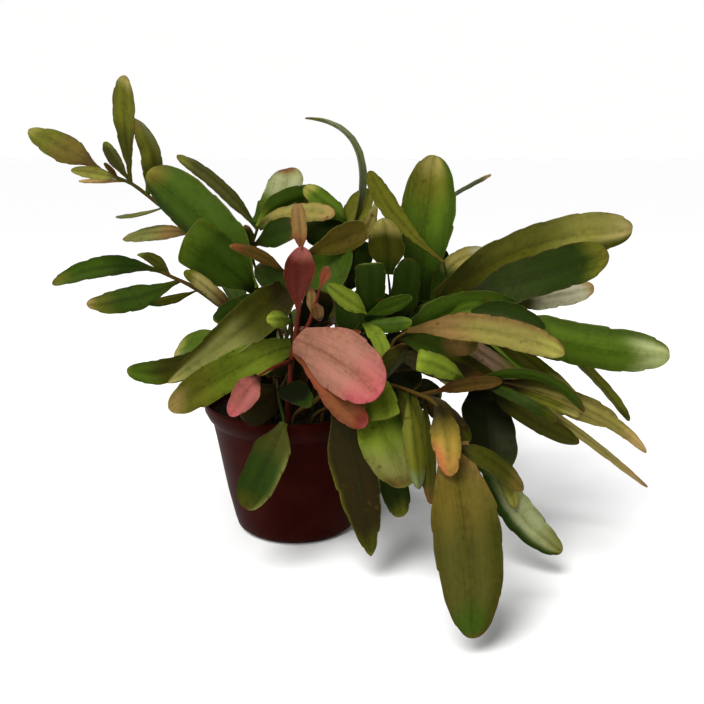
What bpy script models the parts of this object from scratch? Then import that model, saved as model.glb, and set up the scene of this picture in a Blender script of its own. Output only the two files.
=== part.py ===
"""Potted red coral rhipsalis: a flat-stemmed hanging cactus in a 12 cm plastic nursery pot.

Each shoot is one grown piece. Its stem comes up out of the soil and carries flat, notched cladodes.
Metres, +Z up, the origin at the centre of the pot's underside, the plant's best side towards -Y.
"""
import math
import random

import bmesh
import bpy
from mathutils import Matrix, Vector
from mathutils import kdtree, noise

MM = 0.001
SEAT_GAP = 0.3 * MM            # clearance between pieces that touch

# Pot: radius and height of the outside, from the rim down to the foot
RIM_RADIUS = 60.0 * MM
POT_HEIGHT = 88.0 * MM
WALL = 1.3 * MM
POT_OUTSIDE = [
    (59.4, 88.0),
    (60.0, 87.2),
    (59.6, 82.6),
    (57.2, 77.6),
    (54.6, 74.2),
    (53.0, 66.0),
    (46.6, 28.5),
    (42.0, 7.5),
    (40.6, 3.0),
    (37.0, 0.0),
]
FOOT_INNER_RADIUS = 31.0 * MM  # the flat foot ring runs from here out to the corner
PAD_RADIUS = 17.0 * MM         # the flat pad in the middle, level with the foot ring
FLOOR_RISE = 2.4 * MM          # the floor between pad and foot ring stands this high
FLOOR_RADIUS = 36.5 * MM       # of the floor's flat upper side
DRAIN_HOLES = 8
DRAIN_HOLE_RADIUS = 3.0 * MM
DRAIN_HOLE_SIDES = 8
POT_SEGMENTS = 24
POT_CREASE = 32                # edges bent by more degrees than this stay crisp

# Soil
SOIL_TOP = 78.0 * MM
SOIL_RINGS = 4
SOIL_LUMPS = 3.2 * MM
SOIL_LUMPS_PER_METRE = 90
SOIL_SEED = 4
STEM_DEPTH = 16.0 * MM         # how deep each stem stands in its hole
STEM_HOLE_PLAY = 0.4 * MM
STEM_HOLE_SIDES = 6
STEM_STRAIGHT_TOP = SOIL_TOP + 8.0 * MM

# Cladodes
EDGE_THICKNESS = 0.75 * MM
MID_THICKNESS = 2.1 * MM
NARROW = 26.0 * MM             # below this width a cladode is one flat band
NARROW_THICKNESS = 1.3 * MM
LEAST_HALF_WIDTH = 0.9 * MM
NOTCH = 1.1 * MM
STATION_LENGTH = 14.0 * MM     # between the rings of a cladode
STEM_SIDES = 4
STEM_STEP = 24.0 * MM
STEM_TAPER = 0.55              # girth at the end over girth at the foot
TWIG_SHARE = 0.65              # a twig's girth over its stem's
LEAF_CREASE = 35
GROWING_ROOM = 5.0 * MM        # a drawn cladode keeps this far from every other shoot
OWN_ROOM = 3.0 * MM            # and this far from its own, beyond the first share of its length
OWN_CROWDING = 0.3
GROWTH_SEED = 11
GROWTH_TRIES = 150

# Where the plant is looked at from. A place (u, v) is measured in a square picture of 704 units
# from there, and a depth in millimetres behind the pot's axis makes it a place in space.
EYE = Vector((37.5, -520.0, 244.0)) * MM
DOWNWARD = math.radians(13.6)
FOCAL = 816.0
PICTURE_CENTRE = 352.0
AHEAD = Vector((0.0, math.cos(DOWNWARD), -math.sin(DOWNWARD)))
UPWARD = Vector((0.0, math.sin(DOWNWARD), math.cos(DOWNWARD)))

# The seen foliage and pot in that picture, which the growth on the far side stays behind
SEEN_OUTLINE = [
    (150, 180), (185, 182), (222, 205), (250, 240), (262, 300), (410, 300), (447, 262), (500, 232),
    (541, 219), (600, 216), (628, 230), (606, 262), (592, 290), (545, 311), (590, 320), (640, 337),
    (666, 350), (640, 362), (600, 374), (560, 392), (500, 400), (440, 394), (418, 410), (412, 470),
    (215, 470), (206, 402), (185, 408), (172, 400), (168, 380), (132, 372), (142, 358), (185, 342),
    (225, 305), (222, 292), (195, 250), (152, 205),
]

# Outline of a cladode: share of the width at its root, where it reaches full width, where the tip
# begins to close, and how round the tip is
HABITS = {
    "lance": (0.16, 0.50, 0.50, 2.0),
    "strap": (0.22, 0.36, 0.66, 2.2),
    "spoon": (0.14, 0.66, 0.66, 2.1),
    "oval": (0.30, 0.42, 0.42, 2.0),
    "point": (0.20, 0.42, 0.36, 1.45),
    "cut": (0.22, 0.55, 0.92, 4.0),
    "band": (0.50, 0.30, 0.70, 2.2),
    "paddle": (0.42, 0.62, 0.62, 2.0),
    "wedge": (0.62, 0.22, 0.30, 1.5),
    "drop": (0.46, 0.40, 0.46, 1.9),
    "disc": (0.26, 0.34, 0.48, 1.9),
    "slab": (0.78, 0.30, 0.84, 3.0),
}


def place(u, v, depth):
    """The point seen at picture place (u, v) that lies depth millimetres behind the pot's axis."""
    across = (u - PICTURE_CENTRE) / FOCAL
    above = (PICTURE_CENTRE - v) / FOCAL
    ray = AHEAD + Vector((across, 0.0, 0.0)) + UPWARD * above
    return EYE + ray * ((depth * MM - EYE.y) / ray.y)


def seen(point):
    """The picture place of a point, as (u, v)."""
    offset = point - EYE
    away = offset.dot(AHEAD)
    return Vector((
        PICTURE_CENTRE + FOCAL * offset.x / away,
        PICTURE_CENTRE - FOCAL * offset.dot(UPWARD) / away,
    ))


def leaf(root, tip, width, via=None, roll=0.0, habit="lance"):
    """One cladode: root (u, v), tip (u, v, depth), an optional (u, v, depth) it bends through."""
    return {"root": root, "tip": tip, "via": via, "width": width, "roll": roll, "habit": habit}


def smooth_path(points, spacing):
    """A Catmull-Rom curve through the points, read about every spacing metres."""
    ghosts = [points[0] * 2 - points[1]] + points + [points[-1] * 2 - points[-2]]
    path = [points[0].copy()]
    for i in range(1, len(ghosts) - 2):
        a, b, c, d = ghosts[i - 1:i + 3]
        steps = max(1, round((c - b).length / spacing))
        for step in range(1, steps + 1):
            t = step / steps
            path.append(0.5 * (
                2 * b + (c - a) * t + (2 * a - 5 * b + 4 * c - d) * t ** 2
                + (3 * b - a - 3 * c + d) * t ** 3
            ))
    return path


def directions(path):
    """The unit direction of a path at each of its points."""
    result = []
    for i in range(len(path)):
        before = path[max(i - 1, 0)]
        after = path[min(i + 1, len(path) - 1)]
        result.append((after - before).normalized())
    return result


def carried_sideways(path, first_side):
    """A side direction for each point of a path, turned as little as possible from one to the next."""
    along = directions(path)
    side = first_side
    sides = []
    for direction in along:
        side = (side - direction * side.dot(direction)).normalized()
        sides.append(side.copy())
    return along, sides


def skin(rings):
    """A closed mesh over rings of points, its quads all split the same way."""
    shape = bmesh.new()
    layers = [[shape.verts.new(point) for point in ring] for ring in rings]
    count = len(layers[0])
    for lower, upper in zip(layers, layers[1:]):
        for i in range(count):
            j = (i + 1) % count
            if i < count // 2:
                shape.faces.new((lower[i], lower[j], upper[j]))
                shape.faces.new((lower[i], upper[j], upper[i]))
            else:
                shape.faces.new((lower[i], lower[j], upper[i]))
                shape.faces.new((lower[j], upper[j], upper[i]))
    shape.faces.new(layers[0][::-1])
    shape.faces.new(layers[-1])
    bmesh.ops.triangulate(shape, faces=[face for face in shape.faces if len(face.verts) > 3])
    bmesh.ops.recalc_face_normals(shape, faces=shape.faces)
    return shape


def add_object(name, shape):
    """A scene object from a bmesh, which is freed."""
    mesh = bpy.data.meshes.new(name)
    shape.to_mesh(mesh)
    shape.free()
    item = bpy.data.objects.new(name, mesh)
    bpy.context.collection.objects.link(item)
    return item


def give_material(item, colour, roughness):
    """A Principled BSDF of one colour on the object."""
    material = bpy.data.materials.new(item.name)
    material.use_nodes = True
    shader = material.node_tree.nodes["Principled BSDF"]
    shader.inputs["Base Color"].default_value = (*colour, 1.0)
    shader.inputs["Roughness"].default_value = roughness
    shader.inputs["Metallic"].default_value = 0.0
    item.data.materials.clear()
    item.data.materials.append(material)


def apply_modifiers(item):
    """Replace the object's mesh by the one its modifiers give."""
    graph = bpy.context.evaluated_depsgraph_get()
    mesh = bpy.data.meshes.new_from_object(item.evaluated_get(graph))
    item.modifiers.clear()
    item.data = mesh


def join_solids(item, others, operation="UNION", solver="EXACT"):
    """One Boolean of the object with all the others, applied; the others are removed."""
    group = bpy.data.collections.new(item.name + "_parts")
    bpy.context.scene.collection.children.link(group)
    for other in others:
        bpy.context.collection.objects.unlink(other)
        group.objects.link(other)
    boolean = item.modifiers.new("join", "BOOLEAN")
    boolean.operation = operation
    boolean.operand_type = "COLLECTION"
    boolean.collection = group
    boolean.solver = solver
    bpy.context.view_layer.update()
    apply_modifiers(item)
    for other in others:
        bpy.data.objects.remove(other)
    bpy.data.collections.remove(group)


def turned(name, profile, segments):
    """A closed solid of revolution from a closed (radius, height) outline in metres."""
    shape = bmesh.new()
    line = [shape.verts.new((radius, 0.0, height)) for radius, height in profile]
    edges = [shape.edges.new(pair) for pair in zip(line, line[1:])]
    bmesh.ops.spin(
        shape, geom=line + edges, cent=(0, 0, 0), axis=(0, 0, 1),
        angle=math.tau, steps=segments, use_merge=True,
    )
    bmesh.ops.remove_doubles(shape, verts=shape.verts, dist=0.00001)
    bmesh.ops.recalc_face_normals(shape, faces=shape.faces)
    return add_object(name, shape)


def inner_wall():
    """The inside of the pot's wall from the rim down, one wall thickness in from the outside."""
    inside = []
    for radius, height in POT_OUTSIDE[1:-2]:
        inside.append((radius * MM - WALL, height * MM))
    inside[0] = (inside[0][0], POT_HEIGHT)
    return inside


def build_pot():
    """The thin pot with its rim band, raised floor and drain holes."""
    outside = [(radius * MM, height * MM) for radius, height in POT_OUTSIDE]
    rise = FLOOR_RISE
    underside = [
        (FOOT_INNER_RADIUS, 0.0),
        (FOOT_INNER_RADIUS - rise, rise),
        (PAD_RADIUS + rise, rise),
        (PAD_RADIUS, 0.0),
        (0.0, 0.0),
    ]
    inside = inner_wall()
    floor = [(0.0, rise + WALL), (FLOOR_RADIUS, rise + WALL)]
    profile = outside + underside + floor + inside[::-1]
    profile.append(outside[0])
    pot = turned("pot", profile, POT_SEGMENTS)
    middle = (FOOT_INNER_RADIUS + PAD_RADIUS) / 2
    holes = []
    for i in range(DRAIN_HOLES):
        angle = math.tau * (i + 0.5) / DRAIN_HOLES
        bpy.ops.mesh.primitive_cylinder_add(
            vertices=DRAIN_HOLE_SIDES, radius=DRAIN_HOLE_RADIUS, depth=WALL * 8,
            location=(middle * math.cos(angle), middle * math.sin(angle), rise),
        )
        holes.append(bpy.context.object)
    join_solids(pot, holes, "DIFFERENCE")
    pot.data.shade_smooth()
    pot.data.set_sharp_from_angle(angle=math.radians(POT_CREASE))
    give_material(pot, (0.060, 0.013, 0.008), 0.42)


def build_soil(stems):
    """The filled soil, with a lumpy top and a plain hole for every stem."""
    bottom = FLOOR_RISE + WALL + SEAT_GAP
    wall = inner_wall()
    side = [(radius - SEAT_GAP, height) for radius, height in wall if bottom < height < SOIL_TOP]
    above = [point for point in wall if point[1] >= SOIL_TOP][-1]
    lean = (above[0] - SEAT_GAP - side[0][0]) / (above[1] - side[0][1])
    top_radius = side[0][0] + (SOIL_TOP - side[0][1]) * lean
    top = [(top_radius * i / SOIL_RINGS, SOIL_TOP) for i in range(SOIL_RINGS + 1)]
    foot = [(FLOOR_RADIUS - SEAT_GAP, bottom), (0.0, bottom)]
    soil = turned("soil", top + side + foot, POT_SEGMENTS)
    for corner in soil.data.vertices:
        if corner.co.z > SOIL_TOP - SEAT_GAP and corner.co.xy.length < top_radius * 0.9:
            where = Vector((corner.co.x, corner.co.y, 0)) * SOIL_LUMPS_PER_METRE
            corner.co.z += SOIL_LUMPS * noise.noise(where + Vector((0, 0, SOIL_SEED)))
    cutters = []
    for x, y, radius in stems:
        bpy.ops.mesh.primitive_cylinder_add(
            vertices=STEM_HOLE_SIDES, depth=STEM_DEPTH * 2,
            radius=(radius + STEM_HOLE_PLAY) / math.cos(math.pi / STEM_HOLE_SIDES),
            location=(x, y, SOIL_TOP),
        )
        cutters.append(bpy.context.object)
    join_solids(soil, cutters, "DIFFERENCE")
    give_material(soil, (0.030, 0.020, 0.013), 0.95)


def stem_solid(path, girth, tip_girth):
    """A tapering round stem along a path."""
    along, sides = carried_sideways(path, Vector((1, 0, 0)))
    rings = []
    for i, centre in enumerate(path):
        share = i / (len(path) - 1)
        radius = (girth + (tip_girth - girth) * share) / 2
        across = along[i].cross(sides[i])
        ring = []
        for k in range(STEM_SIDES):
            angle = math.tau * k / STEM_SIDES
            ring.append(centre + (sides[i] * math.cos(angle) + across * math.sin(angle)) * radius)
        rings.append(ring)
    return add_object("stem", skin(rings))


def outline(habit, t):
    """The cladode's half width at share t of its length, where full width is 1."""
    root, shoulder, closing, roundness = HABITS[habit]
    rise = min(t / shoulder, 1.0)
    swell = root + (1 - root) * (rise * rise * (3 - 2 * rise))
    late = max(t - closing, 0.0) / (1 - closing)
    return swell * max(1 - late ** roundness, 0.0) ** (1 / roundness)


def nearest_on(carriers, place_seen):
    """The point of the carriers' centre lines that is seen nearest to a picture place."""
    target = Vector(place_seen)
    best = None
    for line in carriers:
        for a, b in zip(line, line[1:]):
            seen_a = seen(a)
            stretch = seen(b) - seen_a
            share = (target - seen_a).dot(stretch) / max(stretch.length_squared, 1e-9)
            share = min(max(share, 0.0), 1.0)
            point = a.lerp(b, share)
            distance = (seen(point) - target).length
            if best is None or distance < best[0]:
                best = (distance, point)
    return best[1]


def bent_line(root, middle, tip):
    """Points of the quadratic curve that leaves root, passes middle and ends at tip."""
    length = (middle - root).length + (tip - middle).length
    count = min(max(round(length / STATION_LENGTH), 3), 8)
    control = middle * 2 - (root + tip) / 2
    line = []
    shares = []
    for i in range(count + 1):
        t = 1 - (1 - i / count) ** 1.35
        shares.append(t)
        line.append(root * (1 - t) ** 2 + control * (2 * t * (1 - t)) + tip * t ** 2)
    return line, shares


def blade(root, middle, tip, item, side=None):
    """A cladode laid out: its centre line, and the side direction and half width along it."""
    line, shares = bent_line(root, middle, tip)
    centre = len(line) // 2
    heading = directions(line)[centre]
    if side is None:
        side = heading.cross(line[centre] - EYE).normalized()
    first = Matrix.Rotation(math.radians(item["roll"]), 3, heading) @ side
    after_along, after = carried_sideways(line[centre:], first)
    before_along, before = carried_sideways(line[:centre + 1][::-1], first)
    halves = [item["width"] * MM / 2 * outline(item["habit"], t) for t in shares]
    return {
        "line": line,
        "shares": shares,
        "sides": before[:0:-1] + after,
        "headings": [-along for along in before_along[:0:-1]] + after_along,
        "halves": [max(half, LEAST_HALF_WIDTH) for half in halves],
        "broad": item["width"] * MM > NARROW,
    }


def blade_solid(laid):
    """A flat cladode, its edges notched left and right by turns."""
    rings = []
    for i, centre in enumerate(laid["line"]):
        half = laid["halves"][i]
        notched = 0.1 < laid["shares"][i] < 0.95 and half > 4 * MM
        notch = NOTCH if notched else 0.0
        left = half - (notch if i % 2 else 0.0)
        right = half - (0.0 if i % 2 else notch)
        side = laid["sides"][i]
        normal = laid["headings"][i].cross(side)
        if laid["broad"]:
            edge = normal * EDGE_THICKNESS / 2
            body = normal * MID_THICKNESS / 2
            rings.append([
                centre - side * left - edge, centre - body, centre + side * right - edge,
                centre + side * right + edge, centre + body, centre - side * left + edge,
            ])
        else:
            flat = normal * NARROW_THICKNESS / 2
            rings.append([
                centre - side * left - flat, centre + side * right - flat,
                centre + side * right + flat, centre - side * left + flat,
            ])
    return add_object("cladode", skin(rings))


def lay_out(shoot):
    """Where the shoot's stem, twigs and the cladodes placed one by one run."""
    x, y = shoot["hole"]
    foot = Vector((x * MM, y * MM, SOIL_TOP - STEM_DEPTH + SEAT_GAP))
    collar = Vector((x * MM, y * MM, STEM_STRAIGHT_TOP))
    bends = [place(*bend) for bend in shoot["stem"]]
    stem = [foot] + smooth_path([collar] + bends, STEM_STEP)
    lines = [stem]
    carriers = [stem[1:]]
    for twig in shoot.get("twigs", []):
        start = nearest_on(carriers, twig[0][:2])
        line = smooth_path([start] + [place(*bend) for bend in twig[1:]], STEM_STEP)
        lines.append(line)
        carriers.append(line)
    blades = []
    for item in shoot["leaves"]:
        root = nearest_on(carriers, item["root"])
        tip = place(*item["tip"])
        middle = place(*item["via"]) if item["via"] else (root + tip) / 2
        laid = blade(root, middle, tip, item)
        carriers.append(laid["line"])
        blades.append(laid)
    return {"shoot": shoot, "lines": lines, "blades": blades}


def marks(lines, blades):
    """Points spread over stems and cladodes, for keeping clear of them."""
    points = []
    for line in lines:
        for a, b in zip(line, line[1:]):
            points += [a.lerp(b, step / 5) for step in range(5)]
        points.append(line[-1])
    for laid in blades:
        rows = []
        for centre, side, half in zip(laid["line"], laid["sides"], laid["halves"]):
            rows.append([centre + side * half * share for share in (-1.0, -0.5, 0.0, 0.5, 1.0)])
        for near, far in zip(rows, rows[1:]):
            for a, b in zip(near, far):
                points += [a, a.lerp(b, 0.33), a.lerp(b, 0.66)]
        points += rows[-1]
    return points


def near_tree(points):
    """A search tree over points."""
    tree = kdtree.KDTree(len(points))
    for i, point in enumerate(points):
        tree.insert(point, i)
    tree.balance()
    return tree


def hidden(point):
    """Whether a point lies behind the seen foliage, by its picture place."""
    u, v = seen(point)
    inside = False
    for (u1, v1), (u2, v2) in zip(SEEN_OUTLINE, SEEN_OUTLINE[1:] + SEEN_OUTLINE[:1]):
        if (v1 > v) != (v2 > v) and u < u1 + (v - v1) * (u2 - u1) / (v2 - v1):
            inside = not inside
    return inside


def has_room(laid, own, others):
    """Whether a cladode keeps clear of its own shoot, the other shoots, the rim and the ground."""
    half = max(laid["halves"])
    root = laid["line"][0]
    reach = (laid["line"][-1] - root).length
    for point in marks([], [laid]):
        if not hidden(point):
            return False
        if (point - root).length > reach * OWN_CROWDING and own.find(point)[2] < OWN_ROOM:
            return False
        spread = point.xy.length
        if point.z < 12 * MM or (spread < RIM_RADIUS + 4 * MM and point.z < POT_HEIGHT + 4 * MM):
            return False
        for tree in others:
            if tree.find(point)[2] < max(GROWING_ROOM, half * 0.4):
                return False
    return True


def drawn_blade(stem, at, bearing, rise, length, droop, item):
    """A cladode given by its place on the stem, its bearing, its rise, length and droop."""
    step = at * (len(stem) - 1)
    low = min(int(step), len(stem) - 2)
    root = stem[low].lerp(stem[low + 1], step - low)
    around = math.radians(bearing)
    upward = math.radians(rise)
    outward = Vector((math.cos(around), math.sin(around), 0.0))
    heading = outward * math.cos(upward) + Vector((0, 0, math.sin(upward)))
    tip = root + heading * length * MM - Vector((0, 0, droop * MM))
    side = Vector((-math.sin(around), math.cos(around), 0.0))
    return blade(root, root + heading * length * MM / 2, tip, item, side)


def grow(layouts):
    """Add to each shoot the cladodes that its 'grown' entry asks for, where there is room."""
    draw = random.Random(GROWTH_SEED)
    trees = {}
    for layout in layouts:
        trees[layout["shoot"]["name"]] = near_tree(marks(layout["lines"], layout["blades"]))
    for layout in layouts:
        shoot = layout["shoot"]
        rule = shoot["grown"]
        stem = layout["lines"][0]
        others = [tree for name, tree in trees.items() if name != shoot["name"]]
        for k in range(rule["count"]):
            share = k / max(rule["count"] - 1, 1)
            hand = 1 if k % 2 else -1
            own = near_tree(marks(layout["lines"], layout["blades"]))
            for _attempt in range(GROWTH_TRIES):
                item = {
                    "width": draw.uniform(*rule["width"]),
                    "roll": draw.uniform(-35, 35),
                    "habit": draw.choice(("lance", "strap", "lance", "spoon")),
                }
                laid = drawn_blade(
                    stem,
                    rule["from"] + (rule["to"] - rule["from"]) * share,
                    rule["bearing"] + hand * draw.uniform(0, rule["spread"]),
                    draw.uniform(*rule["rise"]),
                    draw.uniform(*rule["length"]),
                    draw.uniform(*rule["droop"]),
                    item,
                )
                if has_room(laid, own, others):
                    layout["blades"].append(laid)
                    break
        trees[shoot["name"]] = near_tree(marks(layout["lines"], layout["blades"]))


def build_shoot(layout):
    """One shoot: the stem, its twigs and its cladodes, joined as one solid."""
    shoot = layout["shoot"]
    girth = shoot["girth"] * MM
    solids = [stem_solid(layout["lines"][0], girth, girth * STEM_TAPER)]
    for line in layout["lines"][1:]:
        solids.append(stem_solid(line, girth * TWIG_SHARE, girth * TWIG_SHARE * STEM_TAPER))
    for laid in layout["blades"]:
        solids.append(blade_solid(laid))
    body = solids[0]
    body.name = shoot["name"]
    body.data.name = shoot["name"]
    join_solids(body, solids[1:])
    body.data.shade_smooth()
    body.data.set_sharp_from_angle(angle=math.radians(LEAF_CREASE))
    give_material(body, shoot["colour"], 0.38)


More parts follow.
